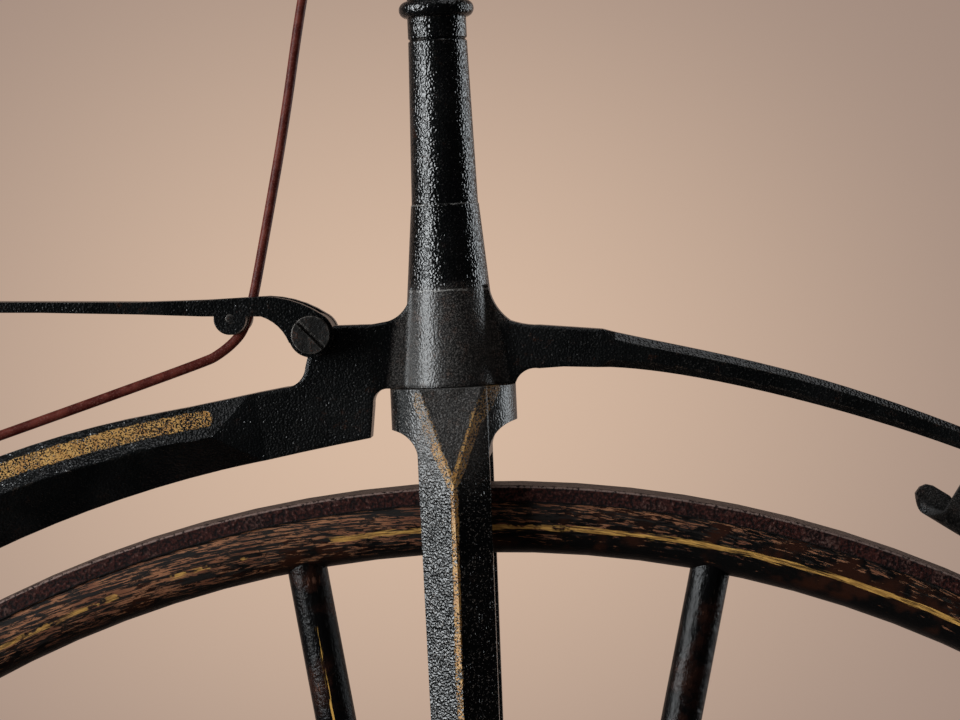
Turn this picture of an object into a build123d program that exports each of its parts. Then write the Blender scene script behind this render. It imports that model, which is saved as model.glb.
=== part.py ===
from build123d import *
import os
from math import acos, atan2, cos, degrees, hypot, pi, radians, sin, tan

# An iron-framed velocipede with wooden wheels, of the kind ridden about 1869, in millimetres.
# X points forward, Y to the rider's left and Z up. It is laid out above the ground with the
# front axle at X = 0, and moved at the end so that the middle of the saddle's top is the origin.

# Wheels and stance
FRONT_RADIUS = 475.0  # to the outside of the iron tyre
REAR_RADIUS = 400.0
WHEELBASE = 1000.0
STEER_LEAN = 2.54  # degrees, top of the steering axis leans back through the front axle
FRONT_SPOKES = 16
REAR_SPOKES = 14
TYRE_THICK = 7.0
TYRE_WIDTH = 27.0
FELLOE_DEPTH = 21.6
TOP_SPOKE_SHIFT = 0.55  # degrees by which the two spokes beside the top stand nearer to it
SPOKE_RIM_R = 8.2
SPOKE_HUB_R = 8.8
SPOKE_STAGGER = 5.0  # sideways at the hub, left and right in turn

# Naves and axles
FRONT_NAVE_R = 54.0
FRONT_NAVE_HALF = 46.0
REAR_NAVE_R = 46.0
REAR_NAVE_HALF = 36.0
BAND_THICK = 3.0
BAND_WIDTH = 11.0
FRONT_AXLE_R = 11.0
REAR_AXLE_R = 8.0
AXLE_END_R = 6.0  # threaded ends beyond the rear nuts
AXLE_END_LENGTH = 14.0
RUNNING_FIT = 0.05  # radial
SEAT_GAP = 0.3

# Head: its foot above the tyre, measured up the steering axis, places above that foot, and radii
HEAD_OVER_TYRE = 40.7
SEAM_RISE = 39.5
STEP_RISE = 74.5
GROOVE_RISE = 142.0
BEAD_RISE = 151.0
TOP_RISE = 158.0
HEAD_BASE_R = 20.2
HEAD_SEAM_R = 17.0
HEAD_STEP_R = 14.0
HEAD_NECK_R = 12.1
HEAD_BEAD_R = 15.4
HEAD_STEP = 0.3
HEAD_GROOVE = 0.8
STEM_R = 9.0

# Lugs and backbone
LUG_HALF = 8.0
BONE_GAP = 19.6  # between tyre and backbone
BONE_START_DEPTH = 27.8
BONE_FLAT_HALF = 6.0  # top and bottom flats
BONE_FULL_HALF = 16.0
BONE_TAIL_DEPTH = 36.0
RIDGE_WEAR = 0.25  # half the height of the worn flat along each ridge
CROTCH_GAP = 60.0  # from the rear tyre forward to the end of the backbone
CROTCH_LENGTH = 34.0
REAR_ARM_INNER_Y = 22.0
REAR_ARM_THICK = 11.0
REAR_ARM_HALF_HEIGHT = 13.0
REAR_ARM_NARROW = 150.0  # the arms' first stretch, close together
REAR_ARM_STRAIGHT = 110.0  # the arms' last stretch, side by side with the nave
REAR_EYE_GAP = 6.0
REAR_EYE_R = 17.0
NUT_R = 14.0
NUT_THICK = 11.0

# Leg rest
ARM_ROOT = (61.5, 12.8)  # ahead of the steering axis, and above the head's foot
ARM_FALL = 0.125  # slope at the root
ARM_CURVE = 0.00085  # how fast it steepens
STRAP_WIDTH = 19.0
STRAP_THICK = 4.0
HORN_Y = 123.0
HORN_FOLD = (-49.3, -16.8)  # ahead of and above the arm's end, where the curl begins
HORN_SLOPE = 58.8  # degrees, the strap's rise out of the curl
HORN_RISE = 24.0
HORN_BEND_R = 14.0
CURL_R = 4.0  # to the middle of the strap
CURL_DRIFT = 14.4  # sideways along the fold over half a turn

# Fork
CROWN_R = 25.9
CROWN_FRONT_DROP = 14.8  # below the head's foot
CROWN_REAR_DROP = 17.2
CROWN_ARCH_DROP = 29.0
BLADE_HALF_WIDTH = 14.5
BLADE_INNER_Y = 19.0
BLADE_EDGE_Y = 24.0
BLADE_RIDGE_Y = 33.0
RIDGE_APEX_DROP = 39.5
CROWN_FACET_Y = 25.0
BLADE_KNEE = 0.695  # shares of the front radius between which the blades spread
BLADE_ANKLE = 0.316
BLADE_SPLAY = 35.0
BLADE_BEND_R = 260.0
BLADE_FOOT_HALF = 11.5
EYE_R = 20.0
BUSH_R = 15.0

# Handlebar
BAR_HALF = 300.0
BAR_R = 9.5
BAR_SETBACK = 14.0
BAR_RISE = 258.9
COLLAR_R = 11.9
YOKE_EYE_Y = 40.0
YOKE_EYE_WIDTH = 18.0
YOKE_EYE_R = 16.0
GRIP_LENGTH = 118.0
GRIP_R = 16.5
WINDING_R = 14.0
WINDING_HALF = 15.0

# Cranks and pedals
CRANK_LENGTH = 160.0
CRANK_ANGLE = -35.0  # degrees from hanging, the right-hand one
CRANK_THICK = 13.0
CRANK_GAP = 6.0
CRANK_BOSS_R = 21.0
CRANK_TIP_R = 15.0
CRANK_SLOT = 66.0  # lets the pin be set nearer to the axle
CRANK_SLOT_HALF = 4.0
PIN_REACH = 152.0
PIN_R = 6.0
PIN_COLLAR = 3.0
PEDAL_LENGTH = 92.0
PEDAL_REACH = 23.0
TREAD_R = 9.0
PEDAL_PLATE = 4.0
PEDAL_WEIGHT = 14.0
PEDAL_WEIGHT_DROP = 3.0

# Spring and saddle
BOLT_PLACE = (-56.2, 23.6)  # ahead of the steering axis, and above the head's foot
SPRING_OVER_BOLT = 13.4
SPRING_THICK = 4.5
SPRING_HALF = 19.0
SPRING_END = 120.0  # its rear roll is ahead of the rear axle
PRONG_OUTER = 15.0
PRONG_START = -52.0  # behind the bolt
PRONG_TAPER = 40.0
REAR_ROLL_R = 9.0
ROLL_PIN_R = 5.0
PULLEY_EAR_R = 6.6
BOLT_R = 5.0
BOLT_HEAD_R = 7.8
BOLT_HEAD = 4.0
EYE_OUTER_R = 9.3
PULLEY_AHEAD = -33.3  # from the bolt
PULLEY_RISE = 6.5
PULLEY_R = 6.8
PULLEY_GROOVE_R = 4.0
PULLEY_HALF = 5.0
PULLEY_PIN_R = 1.8
SADDLE_X = -520.0
SADDLE_OVER_SPRING = 62.32
SADDLE_THICK = 24.0
SADDLE_PLATE = 3.0
SADDLE_REAR_RISE = 12.0
SADDLE_NOSE_RISE = 5.0
CLAMP_WALL = 6.0
CLAMP_LENGTH = 44.0
STAY_HALF = 7.0
STAY_THICK = 6.0
STAY_EYE_R = 10.0

# Brake
CORD_R = 2.05
LEVER_TOP = (59.0, 139.3)  # ahead of the crotch along the backbone's line, and above that line
LEVER_PIVOT = (23.0, 70.5)
LEVER_HALF = 5.0
LEVER_PIN_R = 4.0
CHEEK_THICK = 5.0
CHEEK_FOOT = 18.0
CHEEK_R = 9.0
CORD_EYE = 10.0
SHOE_LIFT = 4.9  # degrees round the rear wheel from the backbone's line up to the shoe
SHOE_SPAN = 9.0
SHOE_GAP = 6.0
SHOE_THICK = 7.0
SHOE_HALF = 13.0


def outline(rows):
    """Closed face from rows of (x, z) for a line, or (x, z, via_x, via_z) for an arc, each to x, z."""
    start = rows[-1][:2]
    edges = []
    for row in rows:
        end = row[:2]
        edges.append(ThreePointArc(start, row[2:], end) if len(row) == 4 else Line(start, end))
        start = end
    return make_face(edges)


def side(face, half, middle=0.0):
    """Solid of a side view, as thick as twice half, its middle at the given Y."""
    return Pos(0, middle, 0) * extrude(Plane.XZ * face, amount=half, both=True)


def plan(face, low, high):
    """Solid of a plan view between two heights."""
    return Pos(0, 0, low) * extrude(face, amount=high - low)


def rod(radius, low_y, high_y, x=0.0, z=0.0):
    """Round bar along Y."""
    bar = Rot(90, 0, 0) * Cylinder(radius, high_y - low_y)
    return Pos(x, (low_y + high_y) / 2, z) * bar


def slanted(x, z, along_x, along_z):
    """Frame at a point of the middle plane, its X along a direction in the side view, its Y kept."""
    size = hypot(along_x, along_z)
    along = (along_x / size, 0, along_z / size)
    return Plane(origin=(x, 0, z), x_dir=along, z_dir=(-along[2], 0, along[0])).location


def both_sides(solid):
    """The piece on the left and its mirror image on the right."""
    return [solid, mirror(solid, Plane.XZ)]


def around(radius, angle):
    """Point at a radius from the front axle, at an angle ahead of the vertical."""
    return (radius * sin(radians(angle)), FRONT_RADIUS + radius * cos(radians(angle)))


def on_head(ahead, rise):
    """Point of the side view, from its place ahead of the steering axis and above the head's foot."""
    lean = radians(STEER_LEAN)
    up = HEAD_BASE_S + rise
    return (ahead * cos(lean) - up * sin(lean), FRONT_RADIUS + ahead * sin(lean) + up * cos(lean))


def from_point(place, rows):
    """Rows of (x, z) or (x, z, via_x, via_z) that are counted from a place, as rows of the side view."""
    return [tuple(value + place[i % 2] for i, value in enumerate(row)) for row in rows]


TOOL = 400.0  # reach of the cutting tools, more than any piece is wide
HEAD_BASE_S = FRONT_RADIUS + HEAD_OVER_TYRE  # S is a distance up the steering axis from the axle
HEAD_TOP_S = HEAD_BASE_S + TOP_RISE
BAR_S = HEAD_BASE_S + BAR_RISE
BOLT_X, BOLT_Z = on_head(*BOLT_PLACE)
SPRING_TOP = BOLT_Z + SPRING_OVER_BOLT
SPRING_REAR_X = SPRING_END - WHEELBASE
SADDLE_TOP = SPRING_TOP + SADDLE_OVER_SPRING
FRONT_AXLE = Location((0, 0, FRONT_RADIUS))
REAR_AXLE = Location((-WHEELBASE, 0, REAR_RADIUS))
UPRIGHT = Location((0, 0, FRONT_RADIUS), (0, -STEER_LEAN, 0))
nodes = {}


# Wheels. Each is turned about the Y axis at the origin, then set on its axle.


def tyre(radius):
    inner = radius - TYRE_THICK
    half = TYRE_WIDTH / 2
    worn = 1.2
    rows = [
        (inner, -half),
        (radius - worn, -half),
        (radius, -half + worn),
        (radius, half - worn),
        (radius - worn, half),
        (inner, half),
    ]
    return revolve(outline(rows), Axis.Y)


def felloe(radius):
    outer = radius - TYRE_THICK
    half = TYRE_WIDTH / 2 - 0.8
    shoulder = outer - 0.68 * FELLOE_DEPTH
    rows = [
        (outer, half),
        (shoulder, 0.82 * half, outer - 0.3 * FELLOE_DEPTH, 1.02 * half),
        (shoulder, -0.82 * half, outer - FELLOE_DEPTH, 0),
        (outer, -half, outer - 0.3 * FELLOE_DEPTH, -1.02 * half),
    ]
    return revolve(outline(rows), Axis.Y)


def nave(radius, half, bore):
    """Turned wooden hub, with a seat for an iron band at each end."""
    end_r = 0.66 * radius
    cone = 0.32 * half
    rows = [
        (bore, -half),
        (end_r, -half),
        (end_r, -half + BAND_WIDTH),
        (end_r + BAND_THICK, -half + BAND_WIDTH),
        (radius, -cone, 0.93 * radius, -half + BAND_WIDTH + 0.45 * (half - BAND_WIDTH - cone)),
        (radius, cone),
        (end_r + BAND_THICK, half - BAND_WIDTH,
         0.93 * radius, half - BAND_WIDTH - 0.45 * (half - BAND_WIDTH - cone)),
        (end_r, half - BAND_WIDTH),
        (end_r, half),
        (bore, half),
    ]
    return revolve(outline(rows), Axis.Y)


def nave_bands(radius, half):
    """Iron rings on the ends of the hub."""
    end_r = 0.66 * radius
    band = rod(end_r + BAND_THICK, half - BAND_WIDTH, half) - rod(end_r, half - BAND_WIDTH, half)
    return both_sides(band)


def spokes(radius, nave_r, count, rim, hub):
    """Tapered round spokes midway about the vertical, staggered at the hub and cut to rim and hub."""
    foot = nave_r - 6
    reach = radius - TYRE_THICK - 4 - foot
    slant = degrees(atan2(SPOKE_STAGGER, reach))
    cone = Cone(SPOKE_HUB_R, SPOKE_RIM_R, reach, align=(Align.CENTER, Align.CENTER, Align.MAX))
    one = Pos(0, 0, foot + reach) * Rot(slant, 0, 0) * cone
    one = (one - rim - hub).solids().sort_by(SortBy.VOLUME)[-1]
    pair = both_sides(one)
    step = 360 / count
    shifts = {0: -TOP_SPOKE_SHIFT, count - 1: TOP_SPOKE_SHIFT}
    return [Rot(0, step * (i + 0.5) + shifts.get(i, 0), 0) * pair[i % 2] for i in range(count)]


def wheel(name, radius, nave_r, nave_half, bore, count, place):
    rim = felloe(radius)
    hub = nave(nave_r, nave_half, bore)
    pieces = {
        "tyre": [tyre(radius)],
        "felloe": [rim],
        "spokes": spokes(radius, nave_r, count, rim, hub),
        "hub": [hub],
        "hub_bands": nave_bands(nave_r, nave_half),
    }
    for piece, solids in pieces.items():
        nodes[f"{name}_{piece}"] = [place * solid for solid in solids]


wheel("front", FRONT_RADIUS, FRONT_NAVE_R, FRONT_NAVE_HALF, FRONT_AXLE_R, FRONT_SPOKES, FRONT_AXLE)
wheel("rear", REAR_RADIUS, REAR_NAVE_R, REAR_NAVE_HALF, REAR_AXLE_R + RUNNING_FIT, REAR_SPOKES,
      REAR_AXLE)


# Fork, laid out about its own axle with Z up the steering axis.

blade_foot_y = BLADE_INNER_Y + BLADE_SPLAY
blade_thick = BLADE_RIDGE_Y - BLADE_INNER_Y
section = Polygon(
    (-BLADE_HALF_WIDTH, BLADE_INNER_Y),
    (BLADE_HALF_WIDTH, BLADE_INNER_Y),
    (BLADE_HALF_WIDTH, BLADE_EDGE_Y),
    (0, BLADE_RIDGE_Y),
    (-BLADE_HALF_WIDTH, BLADE_EDGE_Y),
    align=None,
)
blade_top = HEAD_BASE_S + 23
blade_taper = HEAD_BASE_S - 37  # below here it narrows
# Each row: distance up the steering axis, sideways shift of the blade
BLADE_LINE = [
    (blade_top, 0.0),
    (BLADE_KNEE * FRONT_RADIUS, 0.0),
    (BLADE_ANKLE * FRONT_RADIUS, BLADE_SPLAY),
    (-30.0, BLADE_SPLAY),
]
line = FilletPolyline(*[(0, shift, s) for s, shift in BLADE_LINE], radius=BLADE_BEND_R)
blade = sweep(Pos(0, 0, blade_top) * section, path=line)
blade_side = outline([
    (-BLADE_HALF_WIDTH, blade_top),
    (BLADE_HALF_WIDTH, blade_top),
    (BLADE_HALF_WIDTH, blade_taper),
    (BLADE_FOOT_HALF, 0),
    (-BLADE_FOOT_HALF, 0),
    (-BLADE_HALF_WIDTH, blade_taper),
])
blade &= side(blade_side, TOOL)
# The leaning facet that stops the ridge under the head
apex = HEAD_BASE_S - RIDGE_APEX_DROP
facet_top = HEAD_BASE_S + 43
facet_slope = (BLADE_RIDGE_Y - CROWN_FACET_Y) / RIDGE_APEX_DROP
facet = extrude(Plane.YZ * Polygon(
    (BLADE_RIDGE_Y, apex),
    (BLADE_RIDGE_Y - facet_slope * (facet_top - apex), facet_top),
    (TOOL, facet_top),
    (TOOL, apex),
    align=None,
), amount=TOOL, both=True)
blade -= facet
eye = rod(EYE_R, blade_foot_y, blade_foot_y + blade_thick)
bush_hole = rod(BUSH_R, 0, TOOL)
arch = HEAD_BASE_S - CROWN_ARCH_DROP
above_arch = (Align.CENTER, Align.CENTER, Align.MIN)
lower_blade = blade - Pos(0, 0, arch) * Box(TOOL, TOOL, TOOL, align=above_arch) + eye - bush_hole
nodes["fork_blades"] = [UPRIGHT * solid for solid in both_sides(lower_blade)]

crown_top = HEAD_BASE_S - SEAT_GAP


def cove(drop):
    """Place of the middle of the hollow under an ear of the crown that ends at a drop."""
    return (BLADE_HALF_WIDTH + 0.24 * (CROWN_R - BLADE_HALF_WIDTH),
            HEAD_BASE_S - drop - 0.35 * (CROWN_ARCH_DROP - drop))


front_cove = cove(CROWN_FRONT_DROP)
rear_cove = cove(CROWN_REAR_DROP)
crown_face = outline([
    (BLADE_HALF_WIDTH, arch),
    (CROWN_R, HEAD_BASE_S - CROWN_FRONT_DROP, *front_cove),
    (CROWN_R, crown_top),
    (-CROWN_R, crown_top),
    (-CROWN_R, HEAD_BASE_S - CROWN_REAR_DROP),
    (-BLADE_HALF_WIDTH, arch, -rear_cove[0], rear_cove[1]),
])
crown_round = Cylinder(CROWN_R, 2 * crown_top)
crown_upper = blade & Pos(0, 0, arch) * Box(TOOL, TOOL, crown_top - arch, align=above_arch)
crown = side(crown_face, BLADE_INNER_Y + 8) & crown_round
for cheek in both_sides(crown_upper):
    crown += cheek
nodes["fork_crown"] = [UPRIGHT * crown]

bush = rod(BUSH_R, blade_foot_y - 2, blade_foot_y + blade_thick + 2)
bush -= rod(FRONT_AXLE_R + RUNNING_FIT, 0, TOOL)
nodes["fork_bearings"] = [UPRIGHT * solid for solid in both_sides(bush)]

# Stem: up through the head, then a collar to the yoke
collar_base = HEAD_TOP_S + SEAT_GAP
yoke_base = BAR_S - 40
stem = revolve(Plane.XZ * outline([
    (0, crown_top),
    (STEM_R, crown_top),
    (STEM_R, collar_base),
    (COLLAR_R, collar_base),
    (COLLAR_R - 1.5, yoke_base),
    (0, yoke_base),
]), Axis.Z)
nodes["steering_stem"] = [UPRIGHT * stem]

# Yoke: a boss on the stem with two arms that reach back to the eyes of the bar
yoke_side = outline([
    (-12, yoke_base),
    (12, yoke_base),
    (12, yoke_base + 10),
    (-BAR_SETBACK + 8, BAR_S + 13, 2, BAR_S - 6),
    (-BAR_SETBACK - 12, BAR_S - 8),
])
yoke_arm = side(yoke_side, YOKE_EYE_WIDTH / 2, YOKE_EYE_Y)
yoke_arm += rod(YOKE_EYE_R, YOKE_EYE_Y - YOKE_EYE_WIDTH / 2, YOKE_EYE_Y + YOKE_EYE_WIDTH / 2,
                -BAR_SETBACK, BAR_S)
bridge = side(outline([(-12, yoke_base), (12, yoke_base), (12, yoke_base + 10), (-6, yoke_base + 18),
                       (-12, yoke_base + 14)]), YOKE_EYE_Y + YOKE_EYE_WIDTH / 2)
yoke = bridge
for arm in both_sides(yoke_arm):
    yoke += arm
yoke -= rod(BAR_R, -90, 90, -BAR_SETBACK, BAR_S)
nodes["handlebar_yoke"] = [UPRIGHT * yoke]

bar = rod(BAR_R, -BAR_HALF + 6, BAR_HALF - 6)
winding = rod(WINDING_R, -WINDING_HALF, WINDING_HALF) - rod(BAR_R, -WINDING_HALF, WINDING_HALF)
# Turned grip, each row: radius as a share of the largest, place along the grip as a share
grip_start = BAR_HALF - GRIP_LENGTH
grip = revolve(outline([
    (BAR_R, grip_start),
    (0.82 * GRIP_R, grip_start),
    (0.82 * GRIP_R, grip_start + 8),
    (0.72 * GRIP_R, grip_start + 12),
    (0.86 * GRIP_R, BAR_HALF - 16, GRIP_R, grip_start + 0.5 * GRIP_LENGTH),
    (0.5 * GRIP_R, BAR_HALF, 0.76 * GRIP_R, BAR_HALF - 5),
    (0, BAR_HALF),
    (0, BAR_HALF - 6),
    (BAR_R, BAR_HALF - 6),
]), Axis.Y)
BAR_PLACE = UPRIGHT * Pos(-BAR_SETBACK, 0, BAR_S)
nodes["handlebar"] = [BAR_PLACE * bar]
nodes["cord_winding"] = [BAR_PLACE * winding]
nodes["grips"] = [BAR_PLACE * solid for solid in both_sides(grip)]


# Axle, cranks and pedals of the front wheel. The left side is laid out first.

crank_inner = blade_foot_y + blade_thick + CRANK_GAP
crank_outer = crank_inner + CRANK_THICK
crank_mid = (crank_inner + crank_outer) / 2
pin_end = crank_outer + 4 + PEDAL_LENGTH + 2 * PEDAL_PLATE + 6
nodes["front_axle"] = [FRONT_AXLE * rod(FRONT_AXLE_R, -crank_outer - 4, crank_outer + 4)]
arm_face = make_hull([
    *(Pos(0, 0) * Circle(CRANK_BOSS_R)).edges(),
    *(Pos(0, -CRANK_LENGTH) * Circle(CRANK_TIP_R)).edges(),
])
slot_middle = -PIN_REACH + CRANK_SLOT / 2 - CRANK_SLOT_HALF
slot = Pos(0, slot_middle) * SlotOverall(CRANK_SLOT, 2 * CRANK_SLOT_HALF, rotation=90)
crank = side(arm_face - Circle(FRONT_AXLE_R) - slot, CRANK_THICK / 2, crank_mid)
crank += rod(PIN_R, crank_inner, pin_end, 0, -PIN_REACH)
crank += rod(PIN_R + 5, crank_outer, crank_outer + PIN_COLLAR, 0, -PIN_REACH)
crank += rod(PIN_R + 4, pin_end, pin_end + PIN_COLLAR, 0, -PIN_REACH)
right_crank = mirror(crank, Plane.XZ)
nodes["cranks"] = [
    FRONT_AXLE * Rot(0, CRANK_ANGLE, 0) * right_crank,
    FRONT_AXLE * Rot(0, CRANK_ANGLE + 180, 0) * crank,
]

pedal_low = crank_outer + 4
pedal_high = pin_end - 0.5
plate_face = make_hull([
    edge
    for angle in (90, 210, 330)
    for edge in (Pos(PEDAL_REACH * cos(radians(angle)), PEDAL_REACH * sin(radians(angle)))
                 * Circle(TREAD_R + 1)).edges()
])
sleeve = rod(PIN_R + 4, pedal_low, pedal_high)
pedal_frame = sleeve
for low in (pedal_low, pedal_high - PEDAL_PLATE):
    pedal_frame += side(plate_face, PEDAL_PLATE / 2, low + PEDAL_PLATE / 2)
pedal_frame += Pos(0, (pedal_low + pedal_high) / 2, -PEDAL_REACH - PEDAL_WEIGHT_DROP) * Box(
    2 * TREAD_R + 8, pedal_high - pedal_low, PEDAL_WEIGHT)
pedal_frame -= rod(PIN_R + RUNNING_FIT, 0, TOOL)
treads = [
    rod(TREAD_R, pedal_low + PEDAL_PLATE, pedal_high - PEDAL_PLATE,
        PEDAL_REACH * cos(radians(angle)), PEDAL_REACH * sin(radians(angle)))
    for angle in (90, 210, 330)
]
pedal_frame -= treads


def pin_place(angle):
    """Where a crank's pin stands, for a crank turned by an angle from hanging."""
    a = radians(angle)
    return Location((-PIN_REACH * sin(a), 0, FRONT_RADIUS - PIN_REACH * cos(a)))


LEFT_PIN = pin_place(CRANK_ANGLE + 180)
RIGHT_PIN = pin_place(CRANK_ANGLE)
nodes["pedal_left_frame"] = [LEFT_PIN * pedal_frame]
nodes["pedal_left_treads"] = [LEFT_PIN * solid for solid in treads]
nodes["pedal_right_frame"] = [RIGHT_PIN * mirror(pedal_frame, Plane.XZ)]
nodes["pedal_right_treads"] = [RIGHT_PIN * mirror(solid, Plane.XZ) for solid in treads]


# Head: a turned column with a flat lug behind for the spring and the backbone, and one in front.

column = revolve(Plane.XZ * outline([
    (STEM_R + RUNNING_FIT, HEAD_BASE_S),
    (HEAD_BASE_R, HEAD_BASE_S),
    (HEAD_SEAM_R, HEAD_BASE_S + SEAM_RISE),
    (HEAD_STEP_R, HEAD_BASE_S + STEP_RISE),
    (HEAD_STEP_R - HEAD_STEP, HEAD_BASE_S + STEP_RISE),
    (HEAD_NECK_R, HEAD_BASE_S + GROOVE_RISE - HEAD_GROOVE),
    (HEAD_NECK_R - HEAD_GROOVE, HEAD_BASE_S + GROOVE_RISE),
    (HEAD_NECK_R, HEAD_BASE_S + GROOVE_RISE + HEAD_GROOVE),
    (HEAD_NECK_R, HEAD_BASE_S + BEAD_RISE),
    (HEAD_NECK_R, HEAD_TOP_S, HEAD_BEAD_R, HEAD_BASE_S + (BEAD_RISE + TOP_RISE) / 2),
    (STEM_R + RUNNING_FIT, HEAD_TOP_S),
]), Axis.Z)

bone_under = FRONT_RADIUS + BONE_GAP
LUG_END_ANGLE = -11.5  # where the backbone's section starts
LUG_NOSE_ANGLE = -6.5
lug_top = bone_under + BONE_START_DEPTH
# Side view of each lug, mostly from rows of: ahead of the steering axis, above the head's foot
rear_lug_face = outline([
    on_head(-15.6, 41.0),
    (*on_head(-26.2, 27.4), *on_head(-19.3, 31.0)),
    on_head(-32.4, 26.5),
    on_head(-48.8, 26.7),
    (BOLT_X, BOLT_Z),
    on_head(-59.9, 10.0),
    (*on_head(-69.0, 2.2), *on_head(-62.1, 5.1)),
    around(lug_top, LUG_END_ANGLE),
    around(bone_under, LUG_END_ANGLE),
    (*around(bone_under + 2.4, LUG_NOSE_ANGLE), *around(bone_under + 0.9, -9.0)),
    on_head(-32.7, -6.4),
    (*on_head(-CROWN_R, 0), *on_head(-30.6, -1.4)),
    on_head(0, 0),
    on_head(0, SEAM_RISE),
])
arm_root = on_head(*ARM_ROOT)
# Each row of the leg rest's arm: from its root, half height, half width, share cut off the corners
ARM_ROWS = [
    (0.0, 7.8, LUG_HALF, 0.04),
    (5.0, 7.2, 7.9, 0.4),
    (24.0, 6.1, 6.9, 0.5),
    (60.0, 5.5, 6.2, 0.5),
    (110.0, 4.9, 5.6, 0.5),
    (160.0, 4.2, 5.0, 0.5),
    (212.0, 3.9, 4.8, 0.5),
]


def arm_place(run):
    """Where the arm's middle is at a run from its root, and the way up across it."""
    slope = -ARM_FALL - 2 * ARM_CURVE * run
    size = hypot(1, slope)
    middle = (arm_root[0] + run, arm_root[1] - ARM_FALL * run - ARM_CURVE * run * run)
    return middle, (-slope / size, 1 / size)


root_up = arm_place(0)[1]
root_half = ARM_ROWS[0][1]
front_lug_face = outline([
    on_head(0, 0),
    on_head(CROWN_R, 0),
    (*on_head(36.0, 5.7), *on_head(28.6, 3.9)),
    on_head(46.0, 6.0),
    (arm_root[0] - root_half * root_up[0], arm_root[1] - root_half * root_up[1]),
    (arm_root[0] + root_half * root_up[0], arm_root[1] + root_half * root_up[1]),
    on_head(37.1, 23.3),
    (*on_head(24.8, 25.7), *on_head(30.4, 24.0)),
    (*on_head(16.4, 41.0), *on_head(19.2, 32.0)),
    on_head(0, SEAM_RISE),
])
head = UPRIGHT * column
rear_lug = side(rear_lug_face, LUG_HALF) + rod(9.0, -LUG_HALF, LUG_HALF, BOLT_X, BOLT_Z)
core = UPRIGHT * Pos(0, 0, HEAD_BASE_S) * Cylinder(
    HEAD_NECK_R, TOP_RISE, align=(Align.CENTER, Align.CENTER, Align.MIN))
lugs = rear_lug + side(front_lug_face, LUG_HALF) - core
head = head + lugs
head -= rod(BOLT_R, -TOOL, TOOL, BOLT_X, BOLT_Z)
nodes["head"] = [head]


# Backbone: a ridged bar along the wheel, then straight down to the crotch.

def ridged(flat, ridge, low, high, ridge_share, side_share=0.0):
    """Section with flats at low and high, ridges between them, and a share of its sides left flat."""
    middle = low + ridge_share * (high - low)
    below = middle - max(side_share * (middle - low), RIDGE_WEAR)
    above = middle + max(side_share * (high - middle), RIDGE_WEAR)
    return Polygon((low, -flat), (below, -ridge), (above, -ridge), (high, -flat), (high, flat),
                   (above, ridge), (below, ridge), (low, flat), align=None)


def section_plane(angle):
    """Plane across the bar at an angle ahead of the vertical: X outwards from the axle, Y along Y."""
    a = radians(angle)
    return Plane(origin=(0, 0, FRONT_RADIUS), x_dir=(sin(a), 0, cos(a)), z_dir=(-cos(a), 0, sin(a)))


# The arc ends, so many degrees behind the vertical, where a straight line runs on to the rear axle.
bone_mid = bone_under + BONE_TAIL_DEPTH / 2
axle_drop = FRONT_RADIUS - REAR_RADIUS
bone_arc_end = 90 + degrees(atan2(axle_drop, WHEELBASE)) - degrees(
    acos(bone_mid / hypot(WHEELBASE, axle_drop)))
# Each row: share of the arc behind the lug, depth, half flat, half ridge, ridge's share of the height,
# share of flat side
BONE_ROWS = [
    (0.0, BONE_START_DEPTH, LUG_HALF - 0.1, LUG_HALF, 0.5, 0.96),
    (0.03, 27.8, 7.4, LUG_HALF, 0.5, 0.52),
    (0.06, 27.8, 6.8, LUG_HALF, 0.5, 0.24),
    (0.0935, 28.0, BONE_FLAT_HALF, LUG_HALF + 0.2, 0.51, 0),
    (0.157, 28.7, BONE_FLAT_HALF, 9.6, 0.52, 0),
    (0.26, 30.7, BONE_FLAT_HALF, 12.6, 0.53, 0),
    (0.36, 32.5, BONE_FLAT_HALF, 14.6, 0.55, 0),
    (0.506, 34.6, BONE_FLAT_HALF, BONE_FULL_HALF, 0.57, 0),
    (0.66, 35.6, BONE_FLAT_HALF, BONE_FULL_HALF, 0.57, 0),
    (0.83, BONE_TAIL_DEPTH, BONE_FLAT_HALF, BONE_FULL_HALF, 0.56, 0),
    (1.0, BONE_TAIL_DEPTH, BONE_FLAT_HALF, BONE_FULL_HALF, 0.55, 0),
]
bone_sections = []
for arc_share, depth, flat, ridge, ridge_share, side_share in BONE_ROWS:
    angle = LUG_END_ANGLE - arc_share * (bone_arc_end + LUG_END_ANGLE)
    section = ridged(flat, ridge, bone_under, bone_under + depth, ridge_share, side_share)
    bone_sections.append(section_plane(angle) * section)
# The chamfers' stop ends at the first row whose sides have no flat left.
stop_end = [row[-1] for row in BONE_ROWS].index(0)
bone_front = loft(bone_sections[:stop_end + 1], ruled=True) + loft(bone_sections[stop_end:])

# The straight run falls from the end of the arc towards the rear axle.
arc_end = radians(bone_arc_end)
tail_start = (-bone_mid * sin(arc_end), FRONT_RADIUS + bone_mid * cos(arc_end))
back = (-cos(arc_end), -sin(arc_end))
run_to_axle = (-WHEELBASE - tail_start[0]) * back[0] + (REAR_RADIUS - tail_start[1]) * back[1]
crotch_run = run_to_axle - REAR_RADIUS - CROTCH_GAP
# X runs forward along the bar and Z stands square to it, so a run back along it is negative
TAIL = slanted(*tail_start, -back[0], -back[1])


def tail_section(run, flat, ridge, half_height, share):
    """The six-sided section at a distance along the straight run."""
    face = ridged(flat, ridge, -half_height, half_height, share)
    return TAIL * Plane(origin=(-run, 0, 0), x_dir=(0, 0, 1), z_dir=(-1, 0, 0)).location * face


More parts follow.
